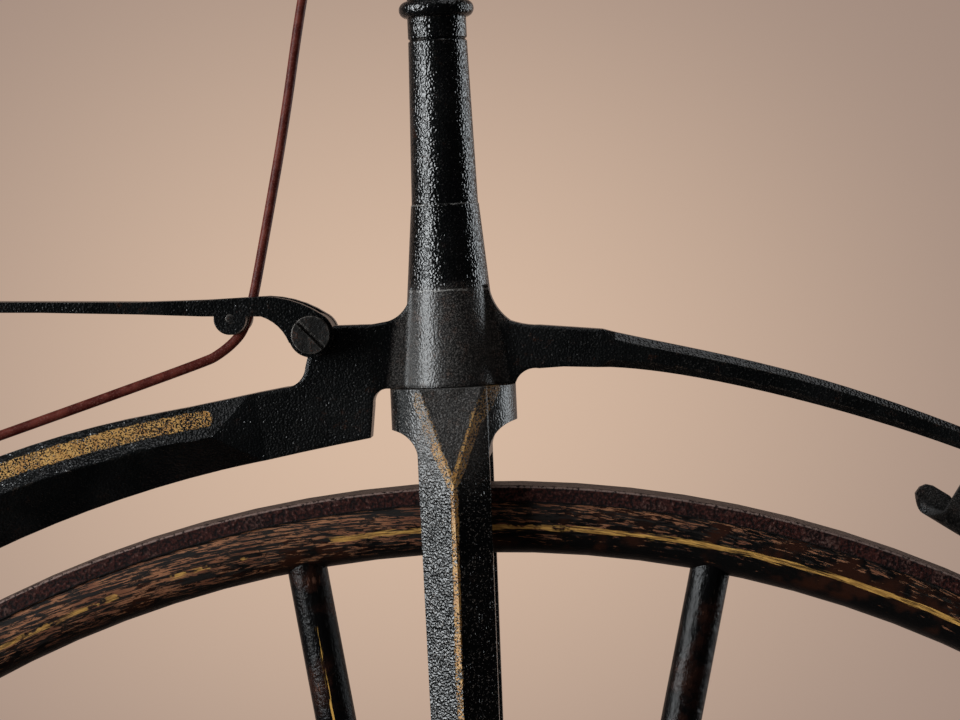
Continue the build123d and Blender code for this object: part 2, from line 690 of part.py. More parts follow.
tail_depth = BONE_TAIL_DEPTH / 2
bone_tail = loft([
    tail_section(0, BONE_FLAT_HALF, BONE_FULL_HALF, tail_depth, 0.55),
    tail_section(crotch_run - CROTCH_LENGTH, BONE_FLAT_HALF, 14.0, 15.0, 0.55),
], ruled=True)
crotch = loft([
    tail_section(crotch_run - CROTCH_LENGTH, BONE_FLAT_HALF, 14.0, 15.0, 0.55),
    tail_section(crotch_run, REAR_ARM_INNER_Y + REAR_ARM_THICK - 2, REAR_ARM_INNER_Y + REAR_ARM_THICK,
                 REAR_ARM_HALF_HEIGHT, 0.5),
], ruled=True)
nodes["backbone"] = [bone_front + bone_tail + crotch]

# Rear fork: two arms that bow round the wheel to eyes on the axle. Plan along the straight run.
rear_eye_y = REAR_NAVE_HALF + REAR_EYE_GAP
plan_line = [
    (crotch_run, REAR_ARM_INNER_Y),
    (crotch_run + REAR_ARM_NARROW, REAR_ARM_INNER_Y),
    (run_to_axle - REAR_ARM_STRAIGHT, rear_eye_y),
    (run_to_axle, rear_eye_y),
    (run_to_axle, rear_eye_y + REAR_ARM_THICK),
    (run_to_axle - REAR_ARM_STRAIGHT, rear_eye_y + REAR_ARM_THICK),
    (crotch_run + REAR_ARM_NARROW, REAR_ARM_INNER_Y + REAR_ARM_THICK),
    (crotch_run, REAR_ARM_INNER_Y + REAR_ARM_THICK),
]
arm_plan = make_face(Polyline(*[(-run, y) for run, y in plan_line], close=True))
arm_solid = extrude(arm_plan, amount=REAR_ARM_HALF_HEIGHT, both=True)
arm_taper = side(outline([
    (-crotch_run, -REAR_ARM_HALF_HEIGHT),
    (-run_to_axle, -0.7 * REAR_ARM_HALF_HEIGHT),
    (-run_to_axle, 0.7 * REAR_ARM_HALF_HEIGHT),
    (-crotch_run, REAR_ARM_HALF_HEIGHT),
]), TOOL)
rear_arm = TAIL * (arm_solid & arm_taper)
rear_eye = REAR_AXLE * rod(REAR_EYE_R, rear_eye_y, rear_eye_y + REAR_ARM_THICK)
rear_arm = rear_arm + rear_eye - REAR_AXLE * rod(REAR_AXLE_R, 0, TOOL)
nodes["rear_fork_arms"] = both_sides(rear_arm)

# Rear axle, fixed in the arms: shoulders seat the arms, nuts hold them, threaded ends stand out.
nut_inner = rear_eye_y + REAR_ARM_THICK + SEAT_GAP + STAY_THICK
nut = Rot(90, 0, 0) * extrude(RegularPolygon(NUT_R, 6), amount=NUT_THICK)
nut = Pos(0, nut_inner + NUT_THICK, 0) * nut
axle_end = nut_inner + NUT_THICK + AXLE_END_LENGTH
rear_axle = rod(REAR_AXLE_R, -nut_inner, nut_inner) + rod(AXLE_END_R, -axle_end, axle_end)
for solid in both_sides(nut):
    rear_axle += solid
spacer = rod(REAR_AXLE_R + 4, REAR_NAVE_HALF + SEAT_GAP, rear_eye_y)
for solid in both_sides(spacer):
    rear_axle += solid
nodes["rear_axle"] = [REAR_AXLE * rear_axle]


# Leg rest: a flat-sided lug turns into a tapering eight-sided bar, then a cross strap with horns.

def octagon(half_height, half_width, cut):
    """Eight-sided section, corners cut off by a share of the half sizes, its X up and its Y across."""
    h = half_height
    w = half_width
    k = 1 - cut
    return Polygon((-h, -k * w), (-k * h, -w), (k * h, -w), (h, -k * w), (h, k * w), (k * h, w),
                   (-k * h, w), (-h, k * w), align=None)


def across_arm(run):
    """Plane across the arm at a run from its root: X up, Y to the left."""
    middle, up = arm_place(run)
    return Plane(origin=(middle[0], 0, middle[1]), x_dir=(up[0], 0, up[1]), z_dir=(-up[1], 0, up[0]))


arm_sections = [
    across_arm(run) * octagon(half_height, half_width, cut)
    for run, half_height, half_width, cut in ARM_ROWS
]
arm = loft(arm_sections[:2], ruled=True) + loft(arm_sections[1:])
nodes["leg_rest_arm"] = [arm]

# A cross strap closes the arm's end. From each side of it a strap on edge runs back, turns down and
# curls outwards into a rounded tongue.
arm_length = ARM_ROWS[-1][0]
arm_tip = arm_place(arm_length)[0]
strap = across_arm(arm_length).location * Pos(0, 0, -STRAP_THICK / 2) * Box(
    STRAP_WIDTH, 2 * HORN_Y + STRAP_THICK, STRAP_THICK)
rise_x = cos(radians(HORN_SLOPE))
rise_z = sin(radians(HORN_SLOPE))
fold = (arm_tip[0] + HORN_FOLD[0], arm_tip[1] + HORN_FOLD[1])
knee = (fold[0] + HORN_RISE * rise_x, fold[1] + HORN_RISE * rise_z)
horn_line = FilletPolyline(
    (fold[0], HORN_Y, fold[1]), (knee[0], HORN_Y, knee[1]), (arm_tip[0] + 1, HORN_Y, arm_tip[1]),
    radius=HORN_BEND_R)
horn_start = Plane(origin=(fold[0], HORN_Y, fold[1]), x_dir=(-rise_z, 0, rise_x), z_dir=(rise_x, 0, rise_z))
horn = sweep(horn_start * Rectangle(STRAP_WIDTH, STRAP_THICK), path=horn_line)
# Each row of the curl: degrees turned, run past the turn, share of the strap's width
CURL_ROWS = [(30 * i, 0.0, 1.0) for i in range(7)] + [(180, 3.5, 0.97), (180, 6.0, 0.78), (180, 7.1, 0.45)]
curl_sections = []
for turn, run, share in CURL_ROWS:
    a = radians(turn)
    along = run - CURL_R * sin(a)
    slide = CURL_DRIFT * turn / 180
    middle = (fold[0] + along * rise_x - slide * rise_z, HORN_Y + CURL_R * (1 - cos(a)),
              fold[1] + along * rise_z + slide * rise_x)
    facing = (-rise_x * cos(a), sin(a), -rise_z * cos(a))
    place = Plane(origin=middle, x_dir=(-rise_z, 0, rise_x), z_dir=facing)
    curl_sections.append(place * Rectangle(share * STRAP_WIDTH, STRAP_THICK))
horn += loft(curl_sections[:7]) + loft(curl_sections[6:], ruled=True)
leg_rest = strap
for solid in both_sides(horn):
    leg_rest += solid
nodes["leg_rest_horns"] = [leg_rest]


# Saddle spring: a long leaf whose front end is forged into a fork of two goose-necks with eyes.

prong_inner = LUG_HALF + SEAT_GAP
spring_low = SPRING_TOP - SPRING_THICK
# Side view, along the underside to the eye and back along the top, counted from the bolt: x, z, and
# for an arc a point on it
spring_side = outline([
    (SPRING_REAR_X, spring_low),
    *from_point((BOLT_X, BOLT_Z), [
        (-110.0, SPRING_OVER_BOLT - SPRING_THICK),
        (-70.0, 8.2),
        (-45.0, 7.4),
        (-20.5, 7.4),
        (-9.0, -3.4, -13.4, 3.2),
        (0.0, 0.0),
        (6.2, 7.0),
        (-19.5, 15.6, -5.0, 12.9),
        (-45.0, 14.0),
        (-70.0, 13.2),
    ]),
    (SPRING_REAR_X, SPRING_TOP),
])
prong_start = BOLT_X + PRONG_START
prong_end = BOLT_X + 30
rear_end = SPRING_REAR_X - 2 * REAR_ROLL_R
spring_plan = Polygon(
    (rear_end, -SPRING_HALF),
    (prong_start - PRONG_TAPER, -SPRING_HALF),
    (prong_start, -PRONG_OUTER),
    (prong_end, -PRONG_OUTER),
    (prong_end, PRONG_OUTER),
    (prong_start, PRONG_OUTER),
    (prong_start - PRONG_TAPER, SPRING_HALF),
    (rear_end, SPRING_HALF),
    align=None,
)
slot_face = Pos(prong_start + prong_inner, 0) * Circle(prong_inner)
slot_face += Polygon(
    (prong_start + prong_inner, -prong_inner),
    (prong_end, -prong_inner),
    (prong_end, prong_inner),
    (prong_start + prong_inner, prong_inner),
    align=None,
)
PULLEY_X = BOLT_X + PULLEY_AHEAD
PULLEY_Z = BOLT_Z + PULLEY_RISE
spring = side(spring_side, SPRING_HALF + 1)
spring += rod(EYE_OUTER_R, -PRONG_OUTER, PRONG_OUTER, BOLT_X, BOLT_Z)
spring += rod(PULLEY_EAR_R, -PRONG_OUTER, PRONG_OUTER, PULLEY_X, PULLEY_Z)
rear_eye_z = SPRING_TOP - REAR_ROLL_R
spring += rod(REAR_ROLL_R, -SPRING_HALF, SPRING_HALF, SPRING_REAR_X, rear_eye_z)
spring &= plan(spring_plan, SPRING_TOP - TOOL, SPRING_TOP + TOOL)
spring -= plan(slot_face, SPRING_TOP - TOOL, SPRING_TOP + TOOL)
spring -= rod(BOLT_R, -TOOL, TOOL, BOLT_X, BOLT_Z)
spring -= rod(PULLEY_PIN_R, -TOOL, TOOL, PULLEY_X, PULLEY_Z)
spring -= rod(ROLL_PIN_R, -TOOL, TOOL, SPRING_REAR_X, rear_eye_z)
nodes["spring"] = [spring]

bolt = rod(BOLT_R, -PRONG_OUTER, PRONG_OUTER, BOLT_X, BOLT_Z)
bolt += rod(BOLT_HEAD_R, -PRONG_OUTER - BOLT_HEAD, -PRONG_OUTER, BOLT_X, BOLT_Z)
bolt_slot = Rot(0, 45, 0) * Box(30, 2, 1.6)
bolt -= Pos(BOLT_X, -PRONG_OUTER - BOLT_HEAD, BOLT_Z) * bolt_slot
bolt_nut = Rot(90, 0, 0) * extrude(RegularPolygon(BOLT_HEAD_R + 1, 6), amount=BOLT_HEAD + 2)
bolt += Pos(BOLT_X, PRONG_OUTER + BOLT_HEAD + 2, BOLT_Z) * bolt_nut
nodes["spring_bolt"] = [bolt]

# Pulley between the prongs; the cord lies in its groove.
pulley_face = outline([
    (PULLEY_PIN_R + RUNNING_FIT, -prong_inner + 0.4),
    (PULLEY_GROOVE_R - 0.6, -prong_inner + 0.4),
    (PULLEY_GROOVE_R - 0.6, -PULLEY_HALF),
    (PULLEY_R, -PULLEY_HALF),
    (PULLEY_R, -CORD_R - 0.7),
    (PULLEY_R, CORD_R + 0.7, PULLEY_GROOVE_R, 0),
    (PULLEY_R, PULLEY_HALF),
    (PULLEY_GROOVE_R - 0.6, PULLEY_HALF),
    (PULLEY_GROOVE_R - 0.6, prong_inner - 0.4),
    (PULLEY_PIN_R + RUNNING_FIT, prong_inner - 0.4),
])
PULLEY_PLACE = Location((PULLEY_X, 0, PULLEY_Z))
nodes["cord_pulley"] = [PULLEY_PLACE * revolve(pulley_face, Axis.Y)]
pulley_pin = rod(PULLEY_PIN_R, -PRONG_OUTER, PRONG_OUTER)
nodes["pulley_pin"] = [PULLEY_PLACE * pulley_pin]

# Stays hold the rear of the spring up from the rear axle.
stay_run = hypot(SPRING_REAR_X + WHEELBASE, rear_eye_z - REAR_RADIUS)
STAY = slanted(SPRING_REAR_X, rear_eye_z, SPRING_REAR_X + WHEELBASE, rear_eye_z - REAR_RADIUS)
stay_top_y = SPRING_HALF + SEAT_GAP
stay_foot_y = rear_eye_y + REAR_ARM_THICK + SEAT_GAP
stay_plan = make_face(Polyline(
    (0, stay_top_y),
    (-0.42 * stay_run, stay_top_y),
    (-0.85 * stay_run, stay_foot_y),
    (-stay_run, stay_foot_y),
    (-stay_run, stay_foot_y + STAY_THICK),
    (-0.85 * stay_run, stay_foot_y + STAY_THICK),
    (-0.42 * stay_run, stay_top_y + STAY_THICK),
    (0, stay_top_y + STAY_THICK),
    close=True,
))
stay = STAY * extrude(stay_plan, amount=STAY_HALF, both=True)
stay += rod(STAY_EYE_R, stay_top_y, stay_top_y + STAY_THICK, SPRING_REAR_X, rear_eye_z)
stay += REAR_AXLE * rod(REAR_EYE_R - 4, stay_foot_y, stay_foot_y + STAY_THICK)
stay -= rod(ROLL_PIN_R, 0, TOOL, SPRING_REAR_X, rear_eye_z)
stay -= REAR_AXLE * rod(REAR_AXLE_R, 0, TOOL)
nodes["spring_stays"] = both_sides(stay)
roll_pin = rod(ROLL_PIN_R, -stay_top_y - STAY_THICK, stay_top_y + STAY_THICK)
for solid in both_sides(rod(ROLL_PIN_R + 3, stay_top_y + STAY_THICK, stay_top_y + STAY_THICK + 5)):
    roll_pin += solid
nodes["spring_shackle_pin"] = [Pos(SPRING_REAR_X, 0, rear_eye_z) * roll_pin]


# Saddle on its plate, clamped to the leaf.

# One side of the plan about the saddle's middle, nose first: x, y, via x, via y
SADDLE_HALF_PLAN = [
    (125.0, 22.0, 140.6, 15.6),
    (10.0, 42.0, 70.0, 27.0),
    (-75.0, 92.0, -22.0, 60.0),
    (-138.0, 60.0, -115.0, 90.0),
    (-147.0, 0.0, -146.0, 31.0),
]
SADDLE_NOSE = (147.0, 0.0)
right = []
points = [SADDLE_NOSE] + [row[:2] for row in SADDLE_HALF_PLAN]
for row, before in zip(reversed(SADDLE_HALF_PLAN), reversed(points[:-1])):
    right.append((before[0], -before[1], row[2], -row[3]))
saddle_face = outline([*SADDLE_HALF_PLAN, *right])
saddle_ends = 160.0
saddle_side = outline([
    (-saddle_ends, SADDLE_REAR_RISE - SADDLE_THICK),
    (saddle_ends, SADDLE_NOSE_RISE - SADDLE_THICK, 0, -SADDLE_THICK),
    (saddle_ends, SADDLE_NOSE_RISE),
    (-saddle_ends, SADDLE_REAR_RISE, 0, 0),
])
plate_side = outline([
    (-saddle_ends, SADDLE_REAR_RISE - SADDLE_THICK - SADDLE_PLATE),
    (saddle_ends, SADDLE_NOSE_RISE - SADDLE_THICK - SADDLE_PLATE, 0, -SADDLE_THICK - SADDLE_PLATE),
    (saddle_ends, SADDLE_NOSE_RISE - SADDLE_THICK),
    (-saddle_ends, SADDLE_REAR_RISE - SADDLE_THICK, 0, -SADDLE_THICK),
])
saddle = plan(saddle_face, -TOOL, TOOL) & side(saddle_side, TOOL)
saddle_plate = plan(scale(saddle_face, by=(0.9, 0.84, 1)), -TOOL, TOOL) & side(plate_side, TOOL)
SADDLE_PLACE = Location((SADDLE_X, 0, SADDLE_TOP))
nodes["saddle"] = [SADDLE_PLACE * saddle]
nodes["saddle_plate"] = [SADDLE_PLACE * saddle_plate]
clamp_top = SADDLE_TOP - SADDLE_THICK - SADDLE_PLATE
clamp = Pos(SADDLE_X, 0, spring_low - CLAMP_WALL) * Box(
    CLAMP_LENGTH, 2 * (SPRING_HALF + CLAMP_WALL), SPRING_THICK + 2 * CLAMP_WALL,
    align=(Align.CENTER, Align.CENTER, Align.MIN))
clamp += Pos(SADDLE_X, 0, SPRING_TOP) * Box(
    0.6 * CLAMP_LENGTH, SPRING_HALF * 1.3, clamp_top - SPRING_TOP + 1,
    align=(Align.CENTER, Align.CENTER, Align.MIN))
clamp -= Pos(SADDLE_X, 0, spring_low) * Box(
    2 * CLAMP_LENGTH, 2 * SPRING_HALF, SPRING_THICK, align=(Align.CENTER, Align.CENTER, Align.MIN))
clamp -= SADDLE_PLACE * saddle_plate
nodes["saddle_clamp"] = [clamp]


# Brake: a bell-crank on the crotch. The cord pulls its top forward and its shoe meets the tyre.

def by_crotch(ahead, above):
    """Point of the side view, from its place ahead of the crotch along the backbone's line, and above it."""
    run = crotch_run - ahead
    return (tail_start[0] + run * back[0] + above * back[1],
            tail_start[1] + run * back[1] - above * back[0])


pivot_x, pivot_z = by_crotch(*LEVER_PIVOT)
top_x, top_z = by_crotch(*LEVER_TOP)
CROTCH = TAIL * Pos(-crotch_run, 0, 0)
cheek_face = make_hull([
    *Rectangle(CHEEK_FOOT, 12, align=(Align.MIN, Align.MIN)).moved(Pos(1, 6)).edges(),
    *(Pos(*LEVER_PIVOT) * Circle(CHEEK_R)).edges(),
])
cheek_inner = LEVER_HALF + SEAT_GAP
bracket = []
for cheek in both_sides(side(cheek_face, CHEEK_THICK / 2, cheek_inner + CHEEK_THICK / 2)):
    cheek = CROTCH * cheek - crotch
    bracket.append(cheek - rod(LEVER_PIN_R, -TOOL, TOOL, pivot_x, pivot_z))
nodes["brake_bracket"] = bracket
pin_reach = cheek_inner + CHEEK_THICK
lever_pin = rod(LEVER_PIN_R, -pin_reach, pin_reach, pivot_x, pivot_z)
for solid in both_sides(rod(LEVER_PIN_R + 3, pin_reach, pin_reach + 4, pivot_x, pivot_z)):
    lever_pin += solid
nodes["brake_pin"] = [lever_pin]


def on_rear_wheel(radius, angle):
    """Point at a radius from the rear axle, at an angle above straight ahead."""
    return (-WHEELBASE + radius * cos(radians(angle)), REAR_RADIUS + radius * sin(radians(angle)))


shoe_in = REAR_RADIUS + SHOE_GAP
shoe_out = shoe_in + SHOE_THICK
shoe_angle = bone_arc_end + SHOE_LIFT
shoe_low = shoe_angle - SHOE_SPAN
shoe_high = shoe_angle + SHOE_SPAN
shoe_face = outline([
    on_rear_wheel(shoe_in, shoe_low),
    (*on_rear_wheel(shoe_in, shoe_high), *on_rear_wheel(shoe_in, shoe_angle)),
    on_rear_wheel(shoe_out, shoe_high),
    (*on_rear_wheel(shoe_out, shoe_low), *on_rear_wheel(shoe_out, shoe_angle)),
])
lever_foot = on_rear_wheel(shoe_out, shoe_angle)
upper_lever = make_hull([
    *(Pos(top_x, top_z) * Circle(6)).edges(),
    *(Pos(pivot_x, pivot_z) * Circle(CHEEK_R)).edges(),
])
lower_lever = make_hull([
    *(Pos(pivot_x, pivot_z) * Circle(CHEEK_R)).edges(),
    *(Pos(*lever_foot) * Circle(5)).edges(),
])
shoe_hollow = REAR_AXLE * rod(shoe_in, -TOOL, TOOL)
lever = side(upper_lever, LEVER_HALF) + side(lower_lever, LEVER_HALF)
lever += side(shoe_face, SHOE_HALF)
lever -= shoe_hollow
lever -= rod(LEVER_PIN_R, -TOOL, TOOL, pivot_x, pivot_z)

# The cord falls from the bar between the prongs, bends over the pulley and runs back to the lever.
# Points of its line, each: x, z
CORD_POINTS = [
    (-68.0, 1239.0),
    (-77.7, 1186.7),
    (-85.7, 1144.7),
    (-92.0, 1098.7),
    (-100.2, 1052.7),
    (-107.1, 1015.5),
    (-115.1, 1005.4),
    (-129.1, 997.1),
]
PULLEY_CORNER = 4  # which turn of the line lies in the pulley's groove, counted from 0
cord_tail = (top_x - CORD_POINTS[-1][0], top_z - CORD_POINTS[-1][1])
cord_tail_run = hypot(*cord_tail)
cord_dir = (cord_tail[0] / cord_tail_run, cord_tail[1] / cord_tail_run)
cord_end = (top_x - CORD_EYE * cord_dir[0], top_z - CORD_EYE * cord_dir[1])
print("pulley", round(PULLEY_X, 2), round(PULLEY_Z, 2), "lever top", round(top_x, 2), round(top_z, 2),
      "cord end", [round(value, 2) for value in cord_end])
route = [Vector(x, 0, z) for x, z in [*CORD_POINTS, cord_end]]
radii = []
for before, corner, after in zip(route, route[1:], route[2:]):
    shorter = min((corner - before).length, (after - corner).length)
    turn = radians((corner - before).get_angle(after - corner))
    radii.append(0.45 * shorter / tan(turn / 2))
radii[PULLEY_CORNER] = PULLEY_GROOVE_R + CORD_R + SEAT_GAP
print("cord bend radii", [round(r) for r in radii])
cord_line = FilletPolyline(*route, radius=radii)
start_dir = (route[1] - route[0]).normalized()
cord = sweep(Plane(origin=route[0], z_dir=start_dir) * Circle(CORD_R), path=cord_line)
print("cord length", round(cord_line.length), "volume against section times length",
      round(cord.volume / (cord_line.length * pi * CORD_R ** 2), 5))
nodes["brake_cord"] = [cord]
boss = Plane(origin=(top_x, 0, top_z), z_dir=(-cord_dir[0], 0, -cord_dir[1])).location * Cylinder(
    CORD_R + 2, CORD_EYE, align=(Align.CENTER, Align.CENTER, Align.MIN))
nodes["brake_lever"] = [lever + boss]

origin = Vector(SADDLE_X, 0, SADDLE_TOP)
os.makedirs("parts", exist_ok=True)
for name, solids in nodes.items():
    shape = Compound([solid for piece in solids for solid in piece.solids()])
    export_step(Pos(-origin.X, -origin.Y, -origin.Z) * shape, f"parts/{name}.step")
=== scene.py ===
import bpy
import math
import numpy as np
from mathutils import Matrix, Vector


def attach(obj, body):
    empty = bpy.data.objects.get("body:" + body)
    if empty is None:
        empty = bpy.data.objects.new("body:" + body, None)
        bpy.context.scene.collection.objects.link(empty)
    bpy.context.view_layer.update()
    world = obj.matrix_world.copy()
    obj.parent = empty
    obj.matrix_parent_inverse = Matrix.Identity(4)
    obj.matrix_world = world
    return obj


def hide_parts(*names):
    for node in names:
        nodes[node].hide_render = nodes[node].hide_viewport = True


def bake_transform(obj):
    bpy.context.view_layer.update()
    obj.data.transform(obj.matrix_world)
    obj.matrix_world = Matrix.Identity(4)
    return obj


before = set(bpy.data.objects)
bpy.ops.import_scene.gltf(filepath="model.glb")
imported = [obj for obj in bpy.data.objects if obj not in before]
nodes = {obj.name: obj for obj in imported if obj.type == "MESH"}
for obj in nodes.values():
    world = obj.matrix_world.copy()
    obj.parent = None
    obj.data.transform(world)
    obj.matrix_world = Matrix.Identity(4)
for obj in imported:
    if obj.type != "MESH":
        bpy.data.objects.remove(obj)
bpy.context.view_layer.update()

scene = bpy.context.scene
scene.view_settings.view_transform = "Standard"

# Camera. It stands on the rider's right, level with the head and a little above it, and looks at the
# place where the frame's forging meets the fork. The lens is a long one.
VIEW_CENTRE = Vector((0.5083, 0.0, -0.0864))
VIEW_AWAY = 1.30
VIEW_WIDTH = 0.3951
VIEW_TURN = math.radians(2.0)
VIEW_DOWN = math.radians(1.8)
SENSOR_WIDTH = 36.0
SEEN_FROM, SEEN_TO = 0.05, 100.0
camera_data = bpy.data.cameras.new("camera")
camera_data.sensor_width = SENSOR_WIDTH
camera_data.lens = SENSOR_WIDTH * VIEW_AWAY / VIEW_WIDTH
camera_data.clip_start = SEEN_FROM
camera_data.clip_end = SEEN_TO
camera = bpy.data.objects.new("camera", camera_data)
back = Vector((
    math.sin(VIEW_TURN) * math.cos(VIEW_DOWN),
    -math.cos(VIEW_TURN) * math.cos(VIEW_DOWN),
    math.sin(VIEW_DOWN),
))
camera.location = VIEW_CENTRE + VIEW_AWAY * back
camera.rotation_mode = "QUATERNION"
camera.rotation_quaternion = (-back).to_track_quat("-Z", "Y")
scene.collection.objects.link(camera)
scene.camera = camera


# Brake cord. A waxed, dark red cord that is wound on the handlebar, falls behind the head, passes
# between the spring's prongs, bends over the pulley and runs taut to the top of the brake lever.
CORD_R = 0.00205
# Control points in the middle plane: x, z
CORD_POINTS = [
    (0.4536, 0.1590),
    (0.4423, 0.0997),
    (0.4343, 0.0577),
    (0.4280, 0.0117),
    (0.4198, -0.0343),
    (0.4129, -0.0715),
    (0.4049, -0.0816),
    (0.3909, -0.0899),
    (-0.12555, -0.2717),
]
CORD_STEPS = 20
CORD_SIDES = 20
CLOSED_WIDTH = 0.02
CORD_RED = (0.060, 0.0095, 0.0070)
CORD_RUBBED = (0.125, 0.0270, 0.0185)
CORD_FIBRE = (0.15, 0.056, 0.044)
BEVEL_SAMPLES = 4


class Wire:
    """A number, colour or vector on a shader's wire, so that a pattern reads as a formula."""

    def __init__(self, tree, socket):
        self.tree = tree
        self.socket = socket

    def math(self, kind, *others):
        node = self.tree.nodes.new("ShaderNodeMath")
        node.operation = kind
        for slot, value in zip(node.inputs, (self, *others)):
            plug(self.tree, slot, value)
        return Wire(self.tree, node.outputs[0])

    def __add__(self, other):
        return self.math("ADD", other)

    def __radd__(self, other):
        return self.math("ADD", other)

    def __sub__(self, other):
        return self.math("SUBTRACT", other)

    def __rsub__(self, other):
        return (self * -1.0) + other

    def __mul__(self, other):
        return self.math("MULTIPLY", other)

    def __rmul__(self, other):
        return self.math("MULTIPLY", other)

    def __truediv__(self, other):
        return self.math("DIVIDE", other)

    def root(self):
        return self.math("SQRT")

    def size(self):
        return self.math("ABSOLUTE")

    def least(self, other):
        return self.math("MINIMUM", other)

    def most(self, other):
        return self.math("MAXIMUM", other)

    def rise(self, low, high):
        """0 below low, 1 above high, and a smooth S between them, either way round."""
        node = self.tree.nodes.new("ShaderNodeMapRange")
        node.interpolation_type = "SMOOTHSTEP"
        plug(self.tree, node.inputs["Value"], self)
        flip = high < low
        for name, value in zip(("From Min", "From Max", "To Min", "To Max"),
                               (min(low, high), max(low, high), float(flip), float(not flip))):
            node.inputs[name].default_value = value
        return Wire(self.tree, node.outputs["Result"])

    def parts(self):
        """The three numbers of a vector."""
        node = self.tree.nodes.new("ShaderNodeSeparateXYZ")
        plug(self.tree, node.inputs[0], self)
        return [Wire(self.tree, out) for out in node.outputs]


def plug(tree, slot, value):
    """Joins a wire to a socket, or sets the socket to a number or a colour."""
    if isinstance(value, Wire):
        tree.links.new(value.socket, slot)
    elif isinstance(value, (tuple, list)) and len(value) == 3 and len(slot.default_value) == 4:
        slot.default_value = (*value, 1.0)
    else:
        slot.default_value = value


def vector(tree, x, y, z):
    """Three numbers as one vector."""
    node = tree.nodes.new("ShaderNodeCombineXYZ")
    for slot, value in zip(node.inputs, (x, y, z)):
        plug(tree, slot, value)
    return Wire(tree, node.outputs[0])


def blend(tree, share, first, second):
    """The first colour where share is 0, and the second where it is 1."""
    node = tree.nodes.new("ShaderNodeMix")
    node.data_type = "RGBA"
    plug(tree, node.inputs[0], share)
    plug(tree, node.inputs[6], first)
    plug(tree, node.inputs[7], second)
    return Wire(tree, node.outputs[2])


def noise(tree, place, scale, detail=3.0, rough=0.55, warp=0.0):
    """Cloudy numbers about 0.5, with spots of about 1/scale."""
    node = tree.nodes.new("ShaderNodeTexNoise")
    plug(tree, node.inputs["Vector"], place)
    for name, value in (("Scale", scale), ("Detail", detail), ("Roughness", rough), ("Distortion", warp)):
        node.inputs[name].default_value = value
    return Wire(tree, node.outputs["Fac"])


def finish_of(name):
    """A new material: its tree, its shader, and the place on the object in metres."""
    material = bpy.data.materials.new(name)
    material.use_nodes = True
    tree = material.node_tree
    place = tree.nodes.new("ShaderNodeTexCoord")
    return material, tree, tree.nodes["Principled BSDF"], Wire(tree, place.outputs["Object"])


def rounded(tree, radius):
    """The surface's normal, which turns gradually round a sharp edge within a radius of it."""
    node = tree.nodes.new("ShaderNodeBevel")
    node.samples = BEVEL_SAMPLES
    plug(tree, node.inputs["Radius"], radius)
    return Wire(tree, node.outputs[0])


def relief(tree, shader, heights, edge=0.0, cut=None):
    """Bumps, each (height wire, depth in metres), on a normal that rounds sharp edges by edge. Where
    a cut is given as (share, normal), that normal takes the surface's place by its share."""
    normal = rounded(tree, edge) if edge else None
    if cut:
        mixed = tree.nodes.new("ShaderNodeVectorMath")
        mixed.operation = "NORMALIZE"
        plug(tree, mixed.inputs[0], blend(tree, cut[0], normal, cut[1]))
        normal = Wire(tree, mixed.outputs[0])
    for height, depth in heights:
        bump = tree.nodes.new("ShaderNodeBump")
        bump.inputs["Distance"].default_value = depth
        plug(tree, bump.inputs["Height"], height)
        if normal is not None:
            plug(tree, bump.inputs["Normal"], normal)
        normal = Wire(tree, bump.outputs[0])
    plug(tree, shader.inputs["Normal"], normal)


def rings_to_faces(rings, around):
    """Four-sided faces of a grid of closed rings: two neighbours on a ring and the same two on the next."""
    i, j = np.meshgrid(np.arange(rings - 1), np.arange(around), indexing="ij")
    k = (j + 1) % around
    return np.stack([i * around + j, i * around + k, (i + 1) * around + k, (i + 1) * around + j],
                    axis=-1).reshape(-1, 4)


def piece(name, points, faces, material, body, coords=None):
    """A mesh of points and faces that rides on a body. Faces are turned round if they enclose a
    negative volume, a third of the sum of each corner dotted with its triangle's doubled area."""
    corners = points[faces]
    volume = np.sum(np.cross(corners[:, 1] - corners[:, 0], corners[:, 2] - corners[:, 0]) * corners[:, 0])
    if volume < 0:
        faces = faces[:, ::-1]
    mesh = bpy.data.meshes.new(name)
    mesh.from_pydata(points.tolist(), [], faces.tolist())
    if coords is not None:
        layer = mesh.uv_layers.new(name="along_and_round")
        layer.data.foreach_set("uv", coords[faces.ravel()].astype(np.float32).ravel())
    mesh.polygons.foreach_set("use_smooth", np.ones(len(mesh.polygons), dtype=bool))
    mesh.materials.append(material)
    mesh.update()
    result = bpy.data.objects.new(name, mesh)
    scene.collection.objects.link(result)
    if body:
        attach(result, body)
    return result


def run_along(rows):
    """How far each point lies from the first along the line that joins them: the straight pieces'
    lengths added up."""
    return np.concatenate([[0.0], np.cumsum(np.linalg.norm(np.diff(rows, axis=0), axis=1))])


def round_bar(line, beside, radius, sides=CORD_SIDES):
    """Points and faces of a round bar along a line: each ring is the line's point plus radius times
    the cosine of the angle along beside, and its sine along the direction square to beside and the
    line. The first and last rings shrink nearly to a point, which closes the ends. Coordinates run
    along and round, in metres."""
    tangent = np.gradient(line, axis=0)
    tangent /= np.linalg.norm(tangent, axis=1, keepdims=True)
    line = np.concatenate([line[:1], line, line[-1:]])
    beside = np.concatenate([beside[:1], beside, beside[-1:]])
    tangent = np.concatenate([tangent[:1], tangent, tangent[-1:]])
    width = np.full(len(line), radius)
    width[[0, -1]] = CLOSED_WIDTH * radius
    across = np.cross(tangent, beside)
    turn = np.linspace(0.0, 2.0 * np.pi, sides, endpoint=False)
    out = np.cos(turn)[:, None] * beside[:, None] + np.sin(turn)[:, None] * across[:, None]
    points = line[:, None] + width[:, None, None] * out
    coords = np.stack(np.broadcast_arrays(run_along(line)[:, None], radius * turn[None]), axis=-1)
    return points.reshape(-1, 3), rings_to_faces(len(line), sides), coords.reshape(-1, 2)


